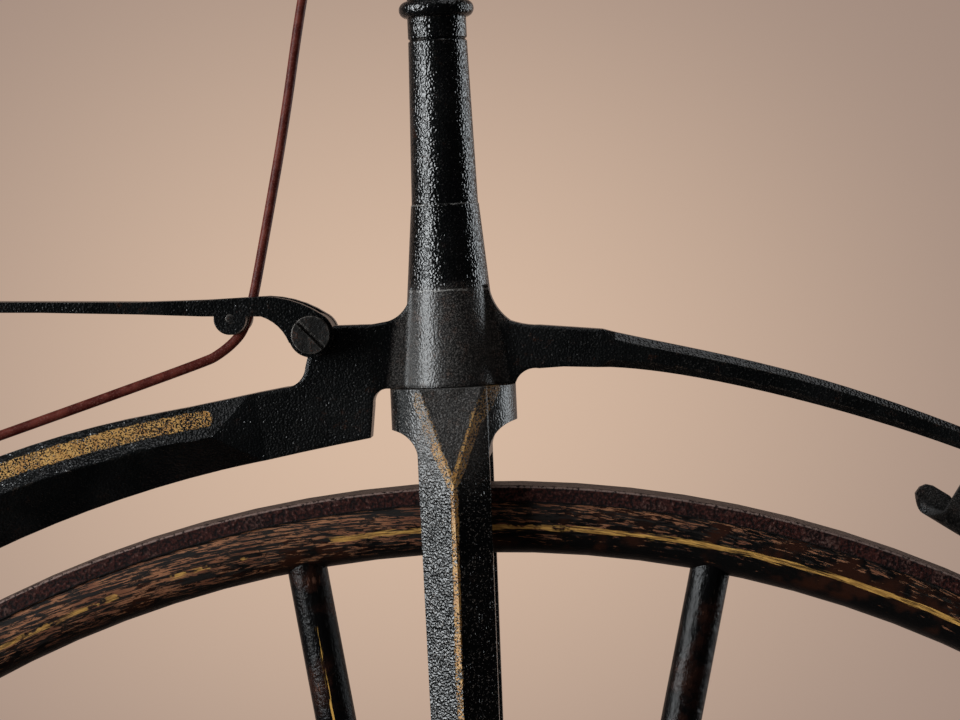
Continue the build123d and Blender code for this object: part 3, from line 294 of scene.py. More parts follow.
def cord_finish(name):
    """Waxed cord: dark red, browner where it is rubbed, with fine fibres and a soft gloss."""
    material, tree, shader, place = finish_of(name)
    fibres = noise(tree, place, 1500.0, 2.0, 0.6)
    rubbed = noise(tree, place, 130.0, 3.0, 0.6)
    colour = blend(tree, rubbed.rise(0.35, 0.65), CORD_RED, CORD_RUBBED)
    colour = blend(tree, fibres.rise(0.54, 0.68), colour, CORD_FIBRE)
    plug(tree, shader.inputs["Base Color"], colour)
    shader.inputs["Roughness"].default_value = 0.40
    shader.inputs["Specular IOR Level"].default_value = 0.12
    relief(tree, shader, [(fibres, 0.00012), (rubbed, 0.0004)])
    return material


route = bpy.data.curves.new("route", "CURVE")
route.dimensions = "3D"
route.resolution_u = CORD_STEPS
spline = route.splines.new("NURBS")
spline.points.add(len(CORD_POINTS) - 1)
spline.points.foreach_set("co", [number for x, z in CORD_POINTS for number in (x, 0.0, z, 1.0)])
spline.order_u = 3
spline.use_endpoint_u = True
route_object = bpy.data.objects.new("route", route)
cord_line = bpy.data.meshes.new_from_object(route_object)
cord_path = np.empty(3 * len(cord_line.vertices))
cord_line.vertices.foreach_get("co", cord_path)
cord_path = cord_path.reshape(-1, 3)
bpy.data.objects.remove(route_object)
bpy.data.meshes.remove(cord_line)
points, faces, coords = round_bar(cord_path, np.tile((0.0, 1.0, 0.0), (len(cord_path), 1)), CORD_R)
brake_line = piece("brake_line", points, faces, cord_finish("waxed_cord"), None, coords)
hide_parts("brake_cord")
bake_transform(brake_line)


# Winding. The same cord goes round the middle of the handlebar in close turns, and one end of it
# leads down behind the bar. Each point stands off the bar's axis by the cosine and sine of the turn.
BAR_X, BAR_Z = 0.47169, 0.16122
BAR_R = 0.0095
WINDING_HALF = 0.0126
WINDING_LEAD = -0.55
WINDING_SIDES = 14
WINDING_BITE = 0.0001
TURNS = 6
TURN_STEPS = 24
turn = np.linspace(WINDING_LEAD, 2 * np.pi * TURNS, TURN_STEPS * TURNS)
radial = np.stack([-np.cos(turn), np.zeros_like(turn), -np.sin(turn)], axis=1)
helix_r = BAR_R + CORD_R - WINDING_BITE
winding_line = np.stack([
    BAR_X - helix_r * np.cos(turn),
    -WINDING_HALF + 2 * WINDING_HALF * np.clip(turn, 0, None) / turn[-1],
    BAR_Z - helix_r * np.sin(turn),
], axis=1)
points, faces, coords = round_bar(winding_line, radial, CORD_R, WINDING_SIDES)
winding = piece("cord_turns", points, faces, cord_finish("wound_cord"), "fork", coords)
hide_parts("cord_winding")


# Backdrop. Plain paper, pinkish beige, brightest behind the head. Rays from the camera and from
# glossy surfaces see it. What the front of the machine mirrors is the dark side of the room.
GLOW_X, GLOW_Z = -0.060, -0.040
GLOW_WIDE, GLOW_HIGH = 0.24, 0.20
GLOW_COLOUR = (0.68, 0.49, 0.365)
PAPER_COLOUR = (0.356, 0.259, 0.212)
DARK_ROOM = (0.009, 0.009, 0.010)
AMBIENT_LOW, AMBIENT_HIGH = (0.035, 0.032, 0.030), (0.115, 0.112, 0.110)
world = bpy.data.worlds.new("studio")
world.use_nodes = True
scene.world = world
tree = world.node_tree
tree.nodes.clear()
ray = Wire(tree, tree.nodes.new("ShaderNodeTexCoord").outputs["Generated"])
rx, ry, rz = ray.parts()
off_x = (rx - GLOW_X) / GLOW_WIDE
off_z = (rz - GLOW_Z) / GLOW_HIGH
off = (off_x * off_x + off_z * off_z).root() + ry.rise(0.5, 0.0) * 2.0
paper = blend(tree, off.rise(0.0, 1.0), GLOW_COLOUR, PAPER_COLOUR)
seen = tree.nodes.new("ShaderNodeLightPath")
mirrored = Wire(tree, seen.outputs["Is Glossy Ray"]).most(Wire(tree, seen.outputs["Is Transmission Ray"]))
behind = ry.rise(0.45, 1.0)
by_mirror = blend(tree, behind, DARK_ROOM, paper)
ambient = blend(tree, rz.rise(-0.35, 0.25), AMBIENT_LOW, AMBIENT_HIGH)
lit = blend(tree, mirrored, ambient, by_mirror)
shown = blend(tree, Wire(tree, seen.outputs["Is Camera Ray"]), lit, paper)
sky = tree.nodes.new("ShaderNodeBackground")
plug(tree, sky.inputs["Color"], shown)
out = tree.nodes.new("ShaderNodeOutputWorld")
tree.links.new(sky.outputs[0], out.inputs[0])


# Floor. The same paper, at an even pale level for the camera. It keeps the machine's shadow, fades
# out into the backdrop, and doesn't show from below.
GROUND_Z = -1.087
FLOOR_RADIUS = 4.8
FLOOR_SOLID = 2.2
FLOOR_COLOUR = (0.40, 0.30, 0.235)
FLOOR_CENTRE_X = 0.05
FLOOR_CORNERS = 96
EVEN_SHARE = 0.7
angles = np.linspace(0.0, 2.0 * np.pi, FLOOR_CORNERS, endpoint=False)
rim = np.stack([FLOOR_CENTRE_X + FLOOR_RADIUS * np.cos(angles), FLOOR_RADIUS * np.sin(angles),
                np.full_like(angles, GROUND_Z)], axis=1)
floor_mesh = bpy.data.meshes.new("floor")
floor_mesh.from_pydata(rim.tolist(), [], [list(range(FLOOR_CORNERS))])
floor = bpy.data.objects.new("floor", floor_mesh)
scene.collection.objects.link(floor)
material, tree, shader, place = finish_of("floor_paper")
plug(tree, shader.inputs["Base Color"], FLOOR_COLOUR)
shader.inputs["Roughness"].default_value = 0.9
x, y, _ = place.parts()
from_middle = ((x - FLOOR_CENTRE_X) * (x - FLOOR_CENTRE_X) + y * y).root()
side_seen = tree.nodes.new("ShaderNodeNewGeometry")
gone = from_middle.rise(FLOOR_SOLID, FLOOR_RADIUS).most(Wire(tree, side_seen.outputs["Backfacing"]))
pale = tree.nodes.new("ShaderNodeEmission")
plug(tree, pale.inputs["Color"], PAPER_COLOUR)
seen = tree.nodes.new("ShaderNodeLightPath")
clear = tree.nodes.new("ShaderNodeBsdfTransparent")
surface = shader
for share, other in ((Wire(tree, seen.outputs["Is Camera Ray"]) * EVEN_SHARE, pale), (gone, clear)):
    either = tree.nodes.new("ShaderNodeMixShader")
    plug(tree, either.inputs[0], share)
    tree.links.new(surface.outputs[0], either.inputs[1])
    tree.links.new(other.outputs[0], either.inputs[2])
    surface = either
tree.links.new(surface.outputs[0], tree.nodes["Material Output"].inputs["Surface"])
floor_mesh.materials.append(material)
floor.visible_glossy = False


# Lamps. A broad soft box on the left gives the long highlights, a narrower cool one stands behind
# on the right, and a weak one hangs overhead.
def lamp(name, towards, away, size, power, colour):
    """A soft box that faces the view's middle from a direction, at a distance, and has a width and a
    height."""
    data = bpy.data.lights.new(name, "AREA")
    data.shape = "RECTANGLE"
    data.size, data.size_y = size
    data.energy = power
    data.color = colour
    box = bpy.data.objects.new(name, data)
    direction = Vector(towards).normalized()
    box.location = VIEW_CENTRE + away * direction
    box.rotation_mode = "QUATERNION"
    box.rotation_quaternion = direction.to_track_quat("Z", "Y")
    box.visible_camera = False
    scene.collection.objects.link(box)


# Each row: name, direction, distance, (width, height), watts, colour
for row in (
    ("key_left", (-0.91, -0.46, 0.14), 2.4, (0.95, 1.7), 74.0, (0.94, 0.98, 1.0)),
    ("strip_right", (0.90, 0.44, 0.10), 2.2, (0.9, 1.6), 22.0, (0.90, 0.96, 1.0)),
    ("overhead", (0.05, -0.15, 1.0), 2.3, (2.4, 1.6), 16.0, (0.97, 0.98, 1.0)),
):
    lamp(*row)


# Black iron. The frame's forgings are wrought iron under old black paint, which the years have
# pitted all over. Brown rust stands in the pits, and the paint has gone from the edges.
BLACK = (0.0018, 0.0021, 0.0022)
BLACK_WORN = (0.0050, 0.0054, 0.0056)
PIT_RUST = (0.030, 0.0115, 0.0060)
BARE_IRON = (0.17, 0.16, 0.15)
WORN_EDGE = (0.10, 0.078, 0.062)
# Rubbed iron, also used as painted sheen on the cone's fillets, the head's shoulder, the crown's middle and
# the horns; its rust and its specks
RUBBED_AND_SHEEN, RUBBED_RUST, RUBBED_SPECK = (0.052, 0.047, 0.044), (0.075, 0.034, 0.019), (0.125, 0.118, 0.112)
# Bare scratches, also used as a faint painted sheen on the crown's middle
SCRATCH_AND_SHEEN = (0.22, 0.215, 0.205)
GOLD = (0.49, 0.270, 0.074)
GOLD_DEEP = (0.37, 0.175, 0.038)
SOFT_EDGE = 0.0005
EDGE_WEAR = 0.0009


def coat(names, material):
    """Gives CAD pieces one finish."""
    for name in names:
        nodes[name].data.materials.clear()
        nodes[name].data.materials.append(material)


def edge_of(tree, radius):
    """1 on a sharp edge and 0 a radius away: how far a rounded normal turns from the face's own."""
    own = tree.nodes.new("ShaderNodeNewGeometry")
    dot = tree.nodes.new("ShaderNodeVectorMath")
    dot.operation = "DOT_PRODUCT"
    plug(tree, dot.inputs[0], rounded(tree, radius))
    tree.links.new(own.outputs["Normal"], dot.inputs[1])
    return Wire(tree, dot.outputs["Value"]).rise(0.995, 0.90)


def off_line(x, z, start, end, bounded=True):
    """How far a place is from a line, or from its nearest point between start and end: that point lies
    a share of the way along, the share being the dot product with the line over the line's square."""
    (x0, z0), (x1, z1) = start, end
    long_x, long_z = x1 - x0, z1 - z0
    square = long_x * long_x + long_z * long_z
    share = (x - x0) * (long_x / square) + (z - z0) * (long_z / square)
    if bounded:
        share = share.most(0.0).least(1.0)
    off_x = x - x0 - share * long_x
    off_z = z - z0 - share * long_z
    return (off_x * off_x + off_z * off_z).root()


# The joints of the head's lugs with the backbone and with the arm: no edge is worn there
REAR_JOINT = (0.4223, -0.1318), (0.4163, -0.1024)
FRONT_JOINT = (0.5598, -0.0720), (0.5573, -0.0868)
JOINT_FADE = 0.0012, 0.0030


def black_iron(name, stripes=None, rust=1.0, gloss=0.20, pebble=0.00036, salt=0.12, zones=None, cut=None):
    """Old black paint on iron: pebbly relief, rust in pits, bare specks and edges, painted stripes.
    Zones give the round on edges, and the shares rubbed dull, scratched bare, hammered and matt; the
    rubbed and scratched shares also paint lighter colour as sheen where the lamps light the head, the
    crown and the horns. A cut gives the share of a facet and its normal."""
    material, tree, shader, place = finish_of(name)
    pebbles = noise(tree, place, 1150.0, 0.3, 0.5)
    fine = noise(tree, place, 1900.0, 1.0, 0.5)
    clouds = noise(tree, place, 38.0, 4.0, 0.6)
    patches = noise(tree, place, 210.0, 5.0, 0.7)
    x, _, z = place.parts()
    whole = off_line(x, z, *REAR_JOINT, bounded=False).rise(*JOINT_FADE)
    whole = whole * off_line(x, z, *FRONT_JOINT, bounded=False).rise(*JOINT_FADE)
    edges = edge_of(tree, EDGE_WEAR) * whole
    colour = blend(tree, clouds.rise(0.35, 0.70), BLACK, BLACK_WORN)
    rusty = patches.rise(0.56, 0.68) * fine.rise(0.42, 0.62) * clouds.rise(0.40, 0.60) * rust
    colour = blend(tree, rusty, colour, PIT_RUST)
    specks = pebbles.rise(0.58, 0.66) * fine.rise(0.52, 0.62) * salt
    colour = blend(tree, specks, colour, BARE_IRON)
    worn_edge = edges * patches.rise(0.47, 0.62) * fine.rise(0.35, 0.60) * 0.8
    colour = blend(tree, worn_edge, colour, WORN_EDGE)
    rough = clouds * 0.10 + fine * 0.10 + (gloss - 0.10)
    soften = SOFT_EDGE
    if zones:
        soften, rubbed_and_sheen, scratched_and_sheen, hammered, matt = zones(tree, place)
        # Painted sheen as well as real rubbing: the rubbed share lightens the colour where the lamps light
        # the cone, its fillets, the shoulder, the crown's middle and the horns
        colour = blend(tree, rubbed_and_sheen * (fine.rise(0.38, 0.66) * 0.7 + 0.15), colour, RUBBED_AND_SHEEN)
        rusted = patches.rise(0.52, 0.64) * fine.rise(0.45, 0.60)
        colour = blend(tree, rubbed_and_sheen * rusted * 0.6, colour, RUBBED_RUST)
        colour = blend(tree, rubbed_and_sheen * fine.rise(0.55, 0.63) * 0.5, colour, RUBBED_SPECK)
        colour = blend(tree, scratched_and_sheen, colour, SCRATCH_AND_SHEEN)
        rough = rough + rubbed_and_sheen * 0.17 + matt * 0.26
        pebbles = pebbles * (1.0 + hammered)
    if stripes:
        gold = stripes(tree, place)
        tone = blend(tree, patches.rise(0.40, 0.62), GOLD, GOLD_DEEP)
        colour = blend(tree, gold, colour, tone)
        rough = rough + gold * 0.25
        pebbles = pebbles * (1.0 - gold * 0.6)
    plug(tree, shader.inputs["Base Color"], colour)
    plug(tree, shader.inputs["Roughness"], rough)
    relief(tree, shader, [(clouds, 0.0006), (pebbles, pebble)], whole * soften, cut and cut(tree, place))
    return material


def chips(tree, place, bare, scale):
    """Where old paint still holds: 1 on what is left, with a share of about bare gone in flakes."""
    flakes = noise(tree, place, scale, 2.5, 0.62)
    drift = noise(tree, place, 70.0, 2.0, 0.5)
    level = (drift - 0.5) * 0.3 + flakes
    middle = 0.36 + 0.28 * bare
    return level.rise(middle - 0.015, middle + 0.015)


# Head and backbone. One forging: the socket for the steering, its lugs, and the backbone that follows
# the wheel and then runs straight to the rear fork. A gold stripe is painted along its upper slope.
AXLE_X, AXLE_Z = 0.520, -0.612
ARC_END = math.radians(35.03)
STRIPE_HALF = 0.0033
STRIPE_R = 0.5167
STRIPE_R_GAIN = 0.0063
STRIPE_FROM = math.radians(13.98)
STRIPE_SETTLES = math.radians(23.4)
STRIPE_RUN = 0.345
PAINT_EDGE = 0.0003


def round_axle(place, axle_x, axle_z):
    """A place's distance ahead of an axle, its place across the machine, its height above the axle,
    and its distance from the axle, which is the root of the sum of squares."""
    x, across, z = place.parts()
    ahead = x - axle_x
    above = z - axle_z
    return ahead, across, above, (ahead * ahead + above * above).root()


def backbone_stripe(tree, place):
    """Gold where the distance from the axle is the stripe's, which grows a little as the bar deepens.
    Past the arc's end the distance is measured square to the straight bar. The ends are rounded."""
    dx, _, dz, radius = round_axle(place, AXLE_X, AXLE_Z)
    angle = (dx * -1.0).math("ARCTAN2", dz)
    run = dx * -math.cos(ARC_END) + dz * -math.sin(ARC_END)
    square = dx * -math.sin(ARC_END) + dz * math.cos(ARC_END)
    straight = run.math("GREATER_THAN", 0.0)
    radius = radius + straight * (square - radius)
    grown = ((angle - STRIPE_FROM) * (1.0 / (STRIPE_SETTLES - STRIPE_FROM))).most(0.0).least(1.0)
    off = radius - STRIPE_R - grown * STRIPE_R_GAIN
    before = ((STRIPE_FROM - angle) * STRIPE_R).most(0.0)
    past = (run - STRIPE_RUN).most(0.0)
    away = (off * off + before * before + past * past).root()
    wobble = (noise(tree, place, 300.0, 2.0) - 0.5) * 0.0012
    painted = (away + wobble).rise(STRIPE_HALF + PAINT_EDGE, STRIPE_HALF - PAINT_EDGE)
    return painted * chips(tree, place, 0.50, 1500.0)


FORK_LEAN = math.radians(2.54)
HEAD_BASE = 0.5157
CONE_TOP = 0.0393
CONE_MIDDLE = -0.0014
CONE_FLARE = 0.15
# The cone's rubbed zone fades out between these half widths; its outer part lies on the fillets beside the
# cone as painted highlight
CONE_EDGE = 0.0205, 0.0170
# A painted highlight on the round in front of the cone, where the lamp catches it: its middle, and the
# radii over which it fades
SHOULDER_X, SHOULDER_Z = 0.020, 0.033
SHOULDER_EDGE = 0.011, 0.004
LUGS_FROM, LUGS_FULL = 0.026, 0.032
UPPER_SEAM = 0.0743


def along_steering(place):
    """A place's distance ahead of the steering axis, and its rise above the head's foot."""
    x, _, z = place.parts()
    dx = x - AXLE_X
    dz = z - AXLE_Z
    ahead = dx * math.cos(FORK_LEAN) + dz * math.sin(FORK_LEAN)
    return ahead, dz * math.cos(FORK_LEAN) - dx * math.sin(FORK_LEAN) - HEAD_BASE


def head_zones(tree, place):
    """The forge's round between cone and lugs is 2.6 mm, and next to none on the hammered column. The
    cone is rubbed dull, and its lighter colour is partly painted sheen; the zone reaches out over the
    fillets beside the cone as painted highlight, and a painted highlight lies on the round in front of it.
    Both seams are scratched where the top of each ring was dressed with a file."""
    ahead, rise = along_steering(place)
    below = rise.rise(CONE_TOP + 0.005, CONE_TOP - 0.002)
    rubbed_and_sheen = below * ((ahead - CONE_MIDDLE).size() - (CONE_TOP - rise) * CONE_FLARE).rise(*CONE_EDGE)
    # Painted highlight on the round in front of the cone
    off_x = ahead - SHOULDER_X
    off_z = rise - SHOULDER_Z
    shoulder_highlight = (off_x * off_x + off_z * off_z).root().rise(*SHOULDER_EDGE)
    ragged = (noise(tree, place, 420.0, 3.0, 0.6) - 0.5) * 0.0024
    held = noise(tree, place, 190.0, 4.0, 0.7)
    scratched_and_sheen = (rise - CONE_TOP + ragged).size().rise(0.00050, 0.00015) * held.rise(0.42, 0.54)
    upper = (rise - UPPER_SEAM + ragged).size().rise(0.00038, 0.00012) * held.rise(0.40, 0.54)
    lugs = rise.rise(0.044, 0.036) * (ahead + 0.004).size().rise(LUGS_FROM, LUGS_FULL)
    soften = 0.00020 + below * 0.0024
    hammered = 0.18 * (1.0 - below) - rubbed_and_sheen * 0.40
    return soften, rubbed_and_sheen.most(shoulder_highlight), scratched_and_sheen.most(upper * 0.6), hammered, lugs * 0.4


def horn_zones(tree, place):
    """The horns are rubbed dull all over by the rider's legs, and their rubbed patches are painted lighter,
    partly as sheen.
    """
    rubbed = noise(tree, place, 120.0, 4.0, 0.6).rise(0.35, 0.60)
    return 0.0006, rubbed, rubbed * 0.0, 0.0, rubbed * 0.4


# Where the backbone's ridge runs out into the flat lug: its point, from the axle, and the direction
# of each of the two arrises that spread from it. The ridge's distance from the axle grows with the
# angle, and the facets tilt and fall away from the side by these shares of a unit normal.
STOP_AHEAD, STOP_UP = -0.1216, 0.4939
STOP_ABOVE = 0.0151, 0.0171
STOP_BELOW = 0.0210, -0.0095
RIDGE_R, RIDGE_R_GAIN, RIDGE_FROM = 0.5086, 0.0487, 0.2409
FACET_TILT, FACET_FALL = 0.62, 0.22
FLAT_UNTIL, RIDGED_FROM = 0.255, 0.330


def chamfer_stop(tree, place):
    """The forge's two facets end in a point. Above the ridge and left of the upper arris the normal
    tips outward from the axle, below it and left of the lower arris inward, and elsewhere the side is
    flat. Left of an arris means that the cross product with its direction is positive."""
    dx, y, dz, radius = round_axle(place, AXLE_X, AXLE_Z)
    angle = (dx * -1.0).math("ARCTAN2", dz)
    ragged = (noise(tree, place, 300.0, 2.0, 0.5) - 0.5) * 0.0016
    above = (radius - RIDGE_R - (angle - RIDGE_FROM) * RIDGE_R_GAIN + ragged).rise(-0.0002, 0.0002)
    sides = []
    for long_x, long_z in (STOP_ABOVE, STOP_BELOW):
        size = math.hypot(long_x, long_z)
        sides.append((dz - STOP_UP) * (long_x / size) - (dx - STOP_AHEAD) * (long_z / size) + ragged)
    upper = above * sides[0].rise(-0.0002, 0.0003)
    lower = (1.0 - above) * sides[1].rise(0.0002, -0.0003)
    outward = (upper - lower) * FACET_TILT
    sideways = (1.0 - (upper + lower) * FACET_FALL) * y.math("SIGN")
    own = tree.nodes.new("ShaderNodeNewGeometry")
    across = Wire(tree, own.outputs["Normal"]).parts()[1].size().rise(0.35, 0.55)
    share = angle.rise(RIDGED_FROM, FLAT_UNTIL) * across
    return share, vector(tree, outward * dx / radius, sideways, outward * dz / radius)


coat(["head"], black_iron("head_iron", gloss=0.18, zones=head_zones))
coat(["leg_rest_arm"], black_iron("painted_iron"))
coat(["rear_fork_arms", "spring_stays"], black_iron("smooth_iron", gloss=0.26, pebble=0.00016))
coat(["leg_rest_horns"], black_iron("horn_iron", rust=1.6, gloss=0.30, zones=horn_zones))
coat(["backbone"], black_iron("striped_iron", backbone_stripe, rust=0.5, salt=0.03, cut=chamfer_stop))
coat(["spring", "saddle_plate", "saddle_clamp", "brake_bracket", "brake_lever"], black_iron(
    "spring_iron", rust=1.3, gloss=0.26))


# Fork. Forged in one with its crown, ridged down the middle of each blade, painted as the frame is. A
# gold V is painted on the crown and a line follows the ridge down from its point.
CROWN_FOOT, CROWN_FULL = -0.050, -0.020
CROWN_LEAN, CROWN_MIDDLE = 0.10, 0.001
# Parts of the gold line: from (ahead, rise), to (ahead, rise), half its width, share flaked off, strength
FORK_LINES = [
    ((-0.0135, -0.0040), (-0.0070, -0.0236), 0.0025, 0.60, 0.42),
    ((-0.0070, -0.0236), (-0.0010, -0.0385), 0.0020, 0.44, 0.80),
    ((0.0166, -0.0020), (0.0104, -0.0122), 0.0030, 0.46, 0.52),
    ((0.0104, -0.0122), (0.0009, -0.0370), 0.0021, 0.44, 0.78),
    ((0.0002, -0.0385), (-0.0014, -0.1200), 0.0014, 0.38, 1.0),
    ((-0.0014, -0.1200), (-0.0014, -0.4100), 0.0012, 0.50, 1.0),
]


def fork_stripes(tree, place):
    """Gold within half a width of each part of the line, in coordinates that lean with the fork."""
    ahead, rise = along_steering(place)
    wobble = (noise(tree, place, 260.0, 2.0) - 0.5) * 0.0016
    gold = None
    for start, end, half, bare, strength in FORK_LINES:
        away = off_line(ahead, rise, start, end) + wobble
        painted = away.rise(half + PAINT_EDGE, half - PAINT_EDGE)
        part = painted * chips(tree, place, bare, 1300.0) * strength
        gold = part if gold is None else gold.most(part)
    return gold


def fork_zones(tree, place):
    """The crown's middle is rubbed dull down to the point of the V and painted lighter there as sheen,
    its ears are smoother, and the blades are hammered."""
    ahead, rise = along_steering(place)
    crown = rise.rise(CROWN_FOOT, CROWN_FULL)
    off = (ahead - rise * CROWN_LEAN - CROWN_MIDDLE).size()
    rubbed_and_sheen = crown * off.rise(0.020, 0.010)
    ears = crown * off.rise(0.013, 0.018)
    # Painted sheen: a little lighter colour on the crown's middle
    scratched_and_sheen = crown * off.rise(0.017, 0.009) * 0.05
    soften = 0.00025 + (crown - ears) * 0.0008
    hammered = 0.15 - crown * 0.15 - ears * 0.45 - rubbed_and_sheen * 0.25
    return soften, rubbed_and_sheen, scratched_and_sheen, hammered, ears * 0.35


coat(["fork_crown", "fork_blades"], black_iron(
    "fork_iron", fork_stripes, rust=0.8, salt=0.9, pebble=0.00044, zones=fork_zones))
coat(["steering_stem", "handlebar_yoke", "handlebar"], black_iron("bar_iron", gloss=0.24, pebble=0.00018))


# Wheel tyres. Iron hoops shrunk on hot. Their sides are rusted a deep reddish brown, and the tread
# is worn bare and dusty.
REAR_X, REAR_Z = -0.480, -0.687
FRONT_RIM_R, REAR_RIM_R = 0.475, 0.400
TREAD_DROP, TREAD_FULL = 0.0007, 0.0001
WOOD_DROP, WOOD_FULL = 0.0062, 0.0068
SIDE_DARK, SIDE_RED = (0.0050, 0.0016, 0.0016), (0.044, 0.0095, 0.0070)
SIDE_BLOTCH, SIDE_SPECK = (0.070, 0.040, 0.034), (0.12, 0.070, 0.058)
TREAD_DARK, TREAD_BARE = (0.020, 0.0095, 0.0080), (0.13, 0.082, 0.066)
WORN_CORNER = (0.20, 0.135, 0.115)
# Painted shade in the gap where the tyre sits on the wood
GAP_SHADE = (0.004, 0.003, 0.003)


def tyre_finish(name, axle_x, axle_z, rim_r):
    """Rust, with painted shade in the gap against the wood, and paler where the distance from the axle is
    the tread's.
    """
    material, tree, shader, place = finish_of(name)
    _, _, _, radius = round_axle(place, axle_x, axle_z)
    crust = noise(tree, place, 760.0, 4.0, 0.68)
    blotch = noise(tree, place, 90.0, 4.0, 0.6)
    colour = blend(tree, crust.rise(0.40, 0.62), SIDE_DARK, SIDE_RED)
    colour = blend(tree, blotch.rise(0.50, 0.66) * crust.rise(0.47, 0.60), colour, SIDE_BLOTCH)
    colour = blend(tree, crust.rise(0.60, 0.70), colour, SIDE_SPECK)
    tread = radius.rise(rim_r - TREAD_DROP, rim_r - TREAD_FULL)
    tread_colour = blend(tree, crust.rise(0.40, 0.60), TREAD_DARK, TREAD_BARE)
    colour = blend(tree, tread, colour, tread_colour)
    corner = (radius - rim_r + TREAD_DROP).size().rise(0.0005, 0.0002) * crust.rise(0.38, 0.50)
    colour = blend(tree, corner, colour, WORN_CORNER)
    # Painted shade in the gap between tyre and wood
    gap_shade = radius.rise(rim_r - WOOD_DROP, rim_r - WOOD_FULL)
    colour = blend(tree, gap_shade, colour, GAP_SHADE)
    plug(tree, shader.inputs["Base Color"], colour)
    plug(tree, shader.inputs["Roughness"], 0.64 - tread * 0.10 - blotch * 0.12)
    shader.inputs["Specular IOR Level"].default_value = 0.14
    relief(tree, shader, [(blotch, 0.0004), (crust, 0.0005)], edge=0.0003)
    return material


coat(["front_tyre"], tyre_finish("rusted_tyre", AXLE_X, AXLE_Z, FRONT_RIM_R))
coat(["rear_tyre"], tyre_finish("rusted_rear_tyre", REAR_X, REAR_Z, REAR_RIM_R))


# Felloes. Ash, bent and scarfed, painted black with a gold line round the middle. The paint has
# worn off in places, down to brown wood with dark weathered grain and worm holes.
LINE_DROP = 0.0173
LINE_HALF, LINE_FULL = 0.0012, 0.0007
WORN_ON, WORN_TIMES = 0.02, 5.0
PAINT_DROP, PAINT_GAIN = 0.0165, 11.0
FOOT_DROP, FOOT_FULL = 0.0235, 0.0270
ASH_DARK, ASH_LIGHT = (0.165, 0.060, 0.031), (0.340, 0.152, 0.075)
DARK_GRAIN = (0.0110, 0.0085, 0.0072)
PAINT_BLACK, PAINT_BROWN = (0.0032, 0.0029, 0.0029), (0.026, 0.0080, 0.0042)
# Painted shade along the felloe's inner edge, towards the spokes
FOOT_SHADE = (0.006, 0.005, 0.005)
LINE_GOLD, LINE_DULL = (0.64, 0.37, 0.10), (0.32, 0.17, 0.045)
WORM_CELLS, WORM_RIM, WORM_FULL = 75.0, 0.085, 0.060
WORM_DARK = (0.003, 0.002, 0.002)


def felloe_finish(name, axle_x, axle_z, rim_r):
    """Paint over wood grain. The grain is noise stretched along the arc, so its coordinates are the
    distance from the axle, the arc's length much shortened and slightly sloped, and the width."""
    material, tree, shader, place = finish_of(name)
    dx, y, dz, radius = round_axle(place, axle_x, axle_z)
    angle = dx.math("ARCTAN2", dz)
    arc = angle * rim_r
    sloped = radius + arc * 0.06
    grain = noise(tree, vector(tree, sloped, arc * 0.085, y), 1300.0, 4.0, 0.72, 0.5)
    strands = noise(tree, vector(tree, sloped, arc * 0.04, y), 620.0, 3.0, 0.6)
    figure = noise(tree, place, 55.0, 3.0, 0.6)
    wood = blend(tree, figure.rise(0.35, 0.65), ASH_DARK, ASH_LIGHT)
    dark_grain = grain.rise(0.465, 0.515).most(strands.rise(0.52, 0.56))
    wood = blend(tree, dark_grain, wood, DARK_GRAIN)
    paint = blend(tree, figure.rise(0.48, 0.62), PAINT_BLACK, PAINT_BROWN)
    flakes = noise(tree, vector(tree, radius + arc * 0.02, arc * 0.16, y), 700.0, 5.0, 0.72)
    kept = ((angle + WORN_ON) * WORN_TIMES).math("SINE")
    inward = (rim_r - PAINT_DROP - radius) * PAINT_GAIN
    level = flakes + kept * 0.10 + (figure - 0.5) * 0.35 + inward
    painted = level.rise(0.495, 0.515)
    colour = blend(tree, painted, wood, paint)
    # Painted shade darkens the felloe's inner edge
    shaded_foot = radius.rise(rim_r - FOOT_DROP, rim_r - FOOT_FULL)
    colour = blend(tree, shaded_foot * 0.85, colour, FOOT_SHADE)
    off = (radius - (rim_r - LINE_DROP)).size()
    line_kept = noise(tree, vector(tree, radius * 0.3, arc * 0.16, y * 0.3), 150.0, 5.0, 0.7)
    streak = noise(tree, vector(tree, radius + arc * 0.01, arc * 0.05, y), 1500.0, 3.0, 0.6)
    line = (off + (streak - 0.5) * 0.0034).rise(LINE_HALF, LINE_FULL)
    line = line * (line_kept + kept * 0.05).rise(0.445, 0.475)
    line = line * (1.0 - streak.rise(0.50, 0.60) * 0.8)
    line_colour = blend(tree, grain.rise(0.4, 0.6), LINE_GOLD, LINE_DULL)
    colour = blend(tree, line, colour, line_colour)
    holes = tree.nodes.new("ShaderNodeTexVoronoi")
    plug(tree, holes.inputs["Vector"], place)
    holes.inputs["Scale"].default_value = WORM_CELLS
    bored = Wire(tree, holes.outputs["Distance"]).rise(WORM_RIM, WORM_FULL) * (1.0 - painted)
    colour = blend(tree, bored, colour, WORM_DARK)
    plug(tree, shader.inputs["Base Color"], colour)
    plug(tree, shader.inputs["Roughness"], 0.60 - painted * 0.20 - line * 0.05)
    shader.inputs["Specular IOR Level"].default_value = 0.20
    relief(tree, shader, [(painted, 0.00015), (grain * (1.0 - painted * 0.6), 0.0006), (bored, -0.0008)])
    return material


coat(["front_felloe"], felloe_finish("felloe_paint", AXLE_X, AXLE_Z, FRONT_RIM_R))
coat(["rear_felloe"], felloe_finish("rear_felloe_paint", REAR_X, REAR_Z, REAR_RIM_R))


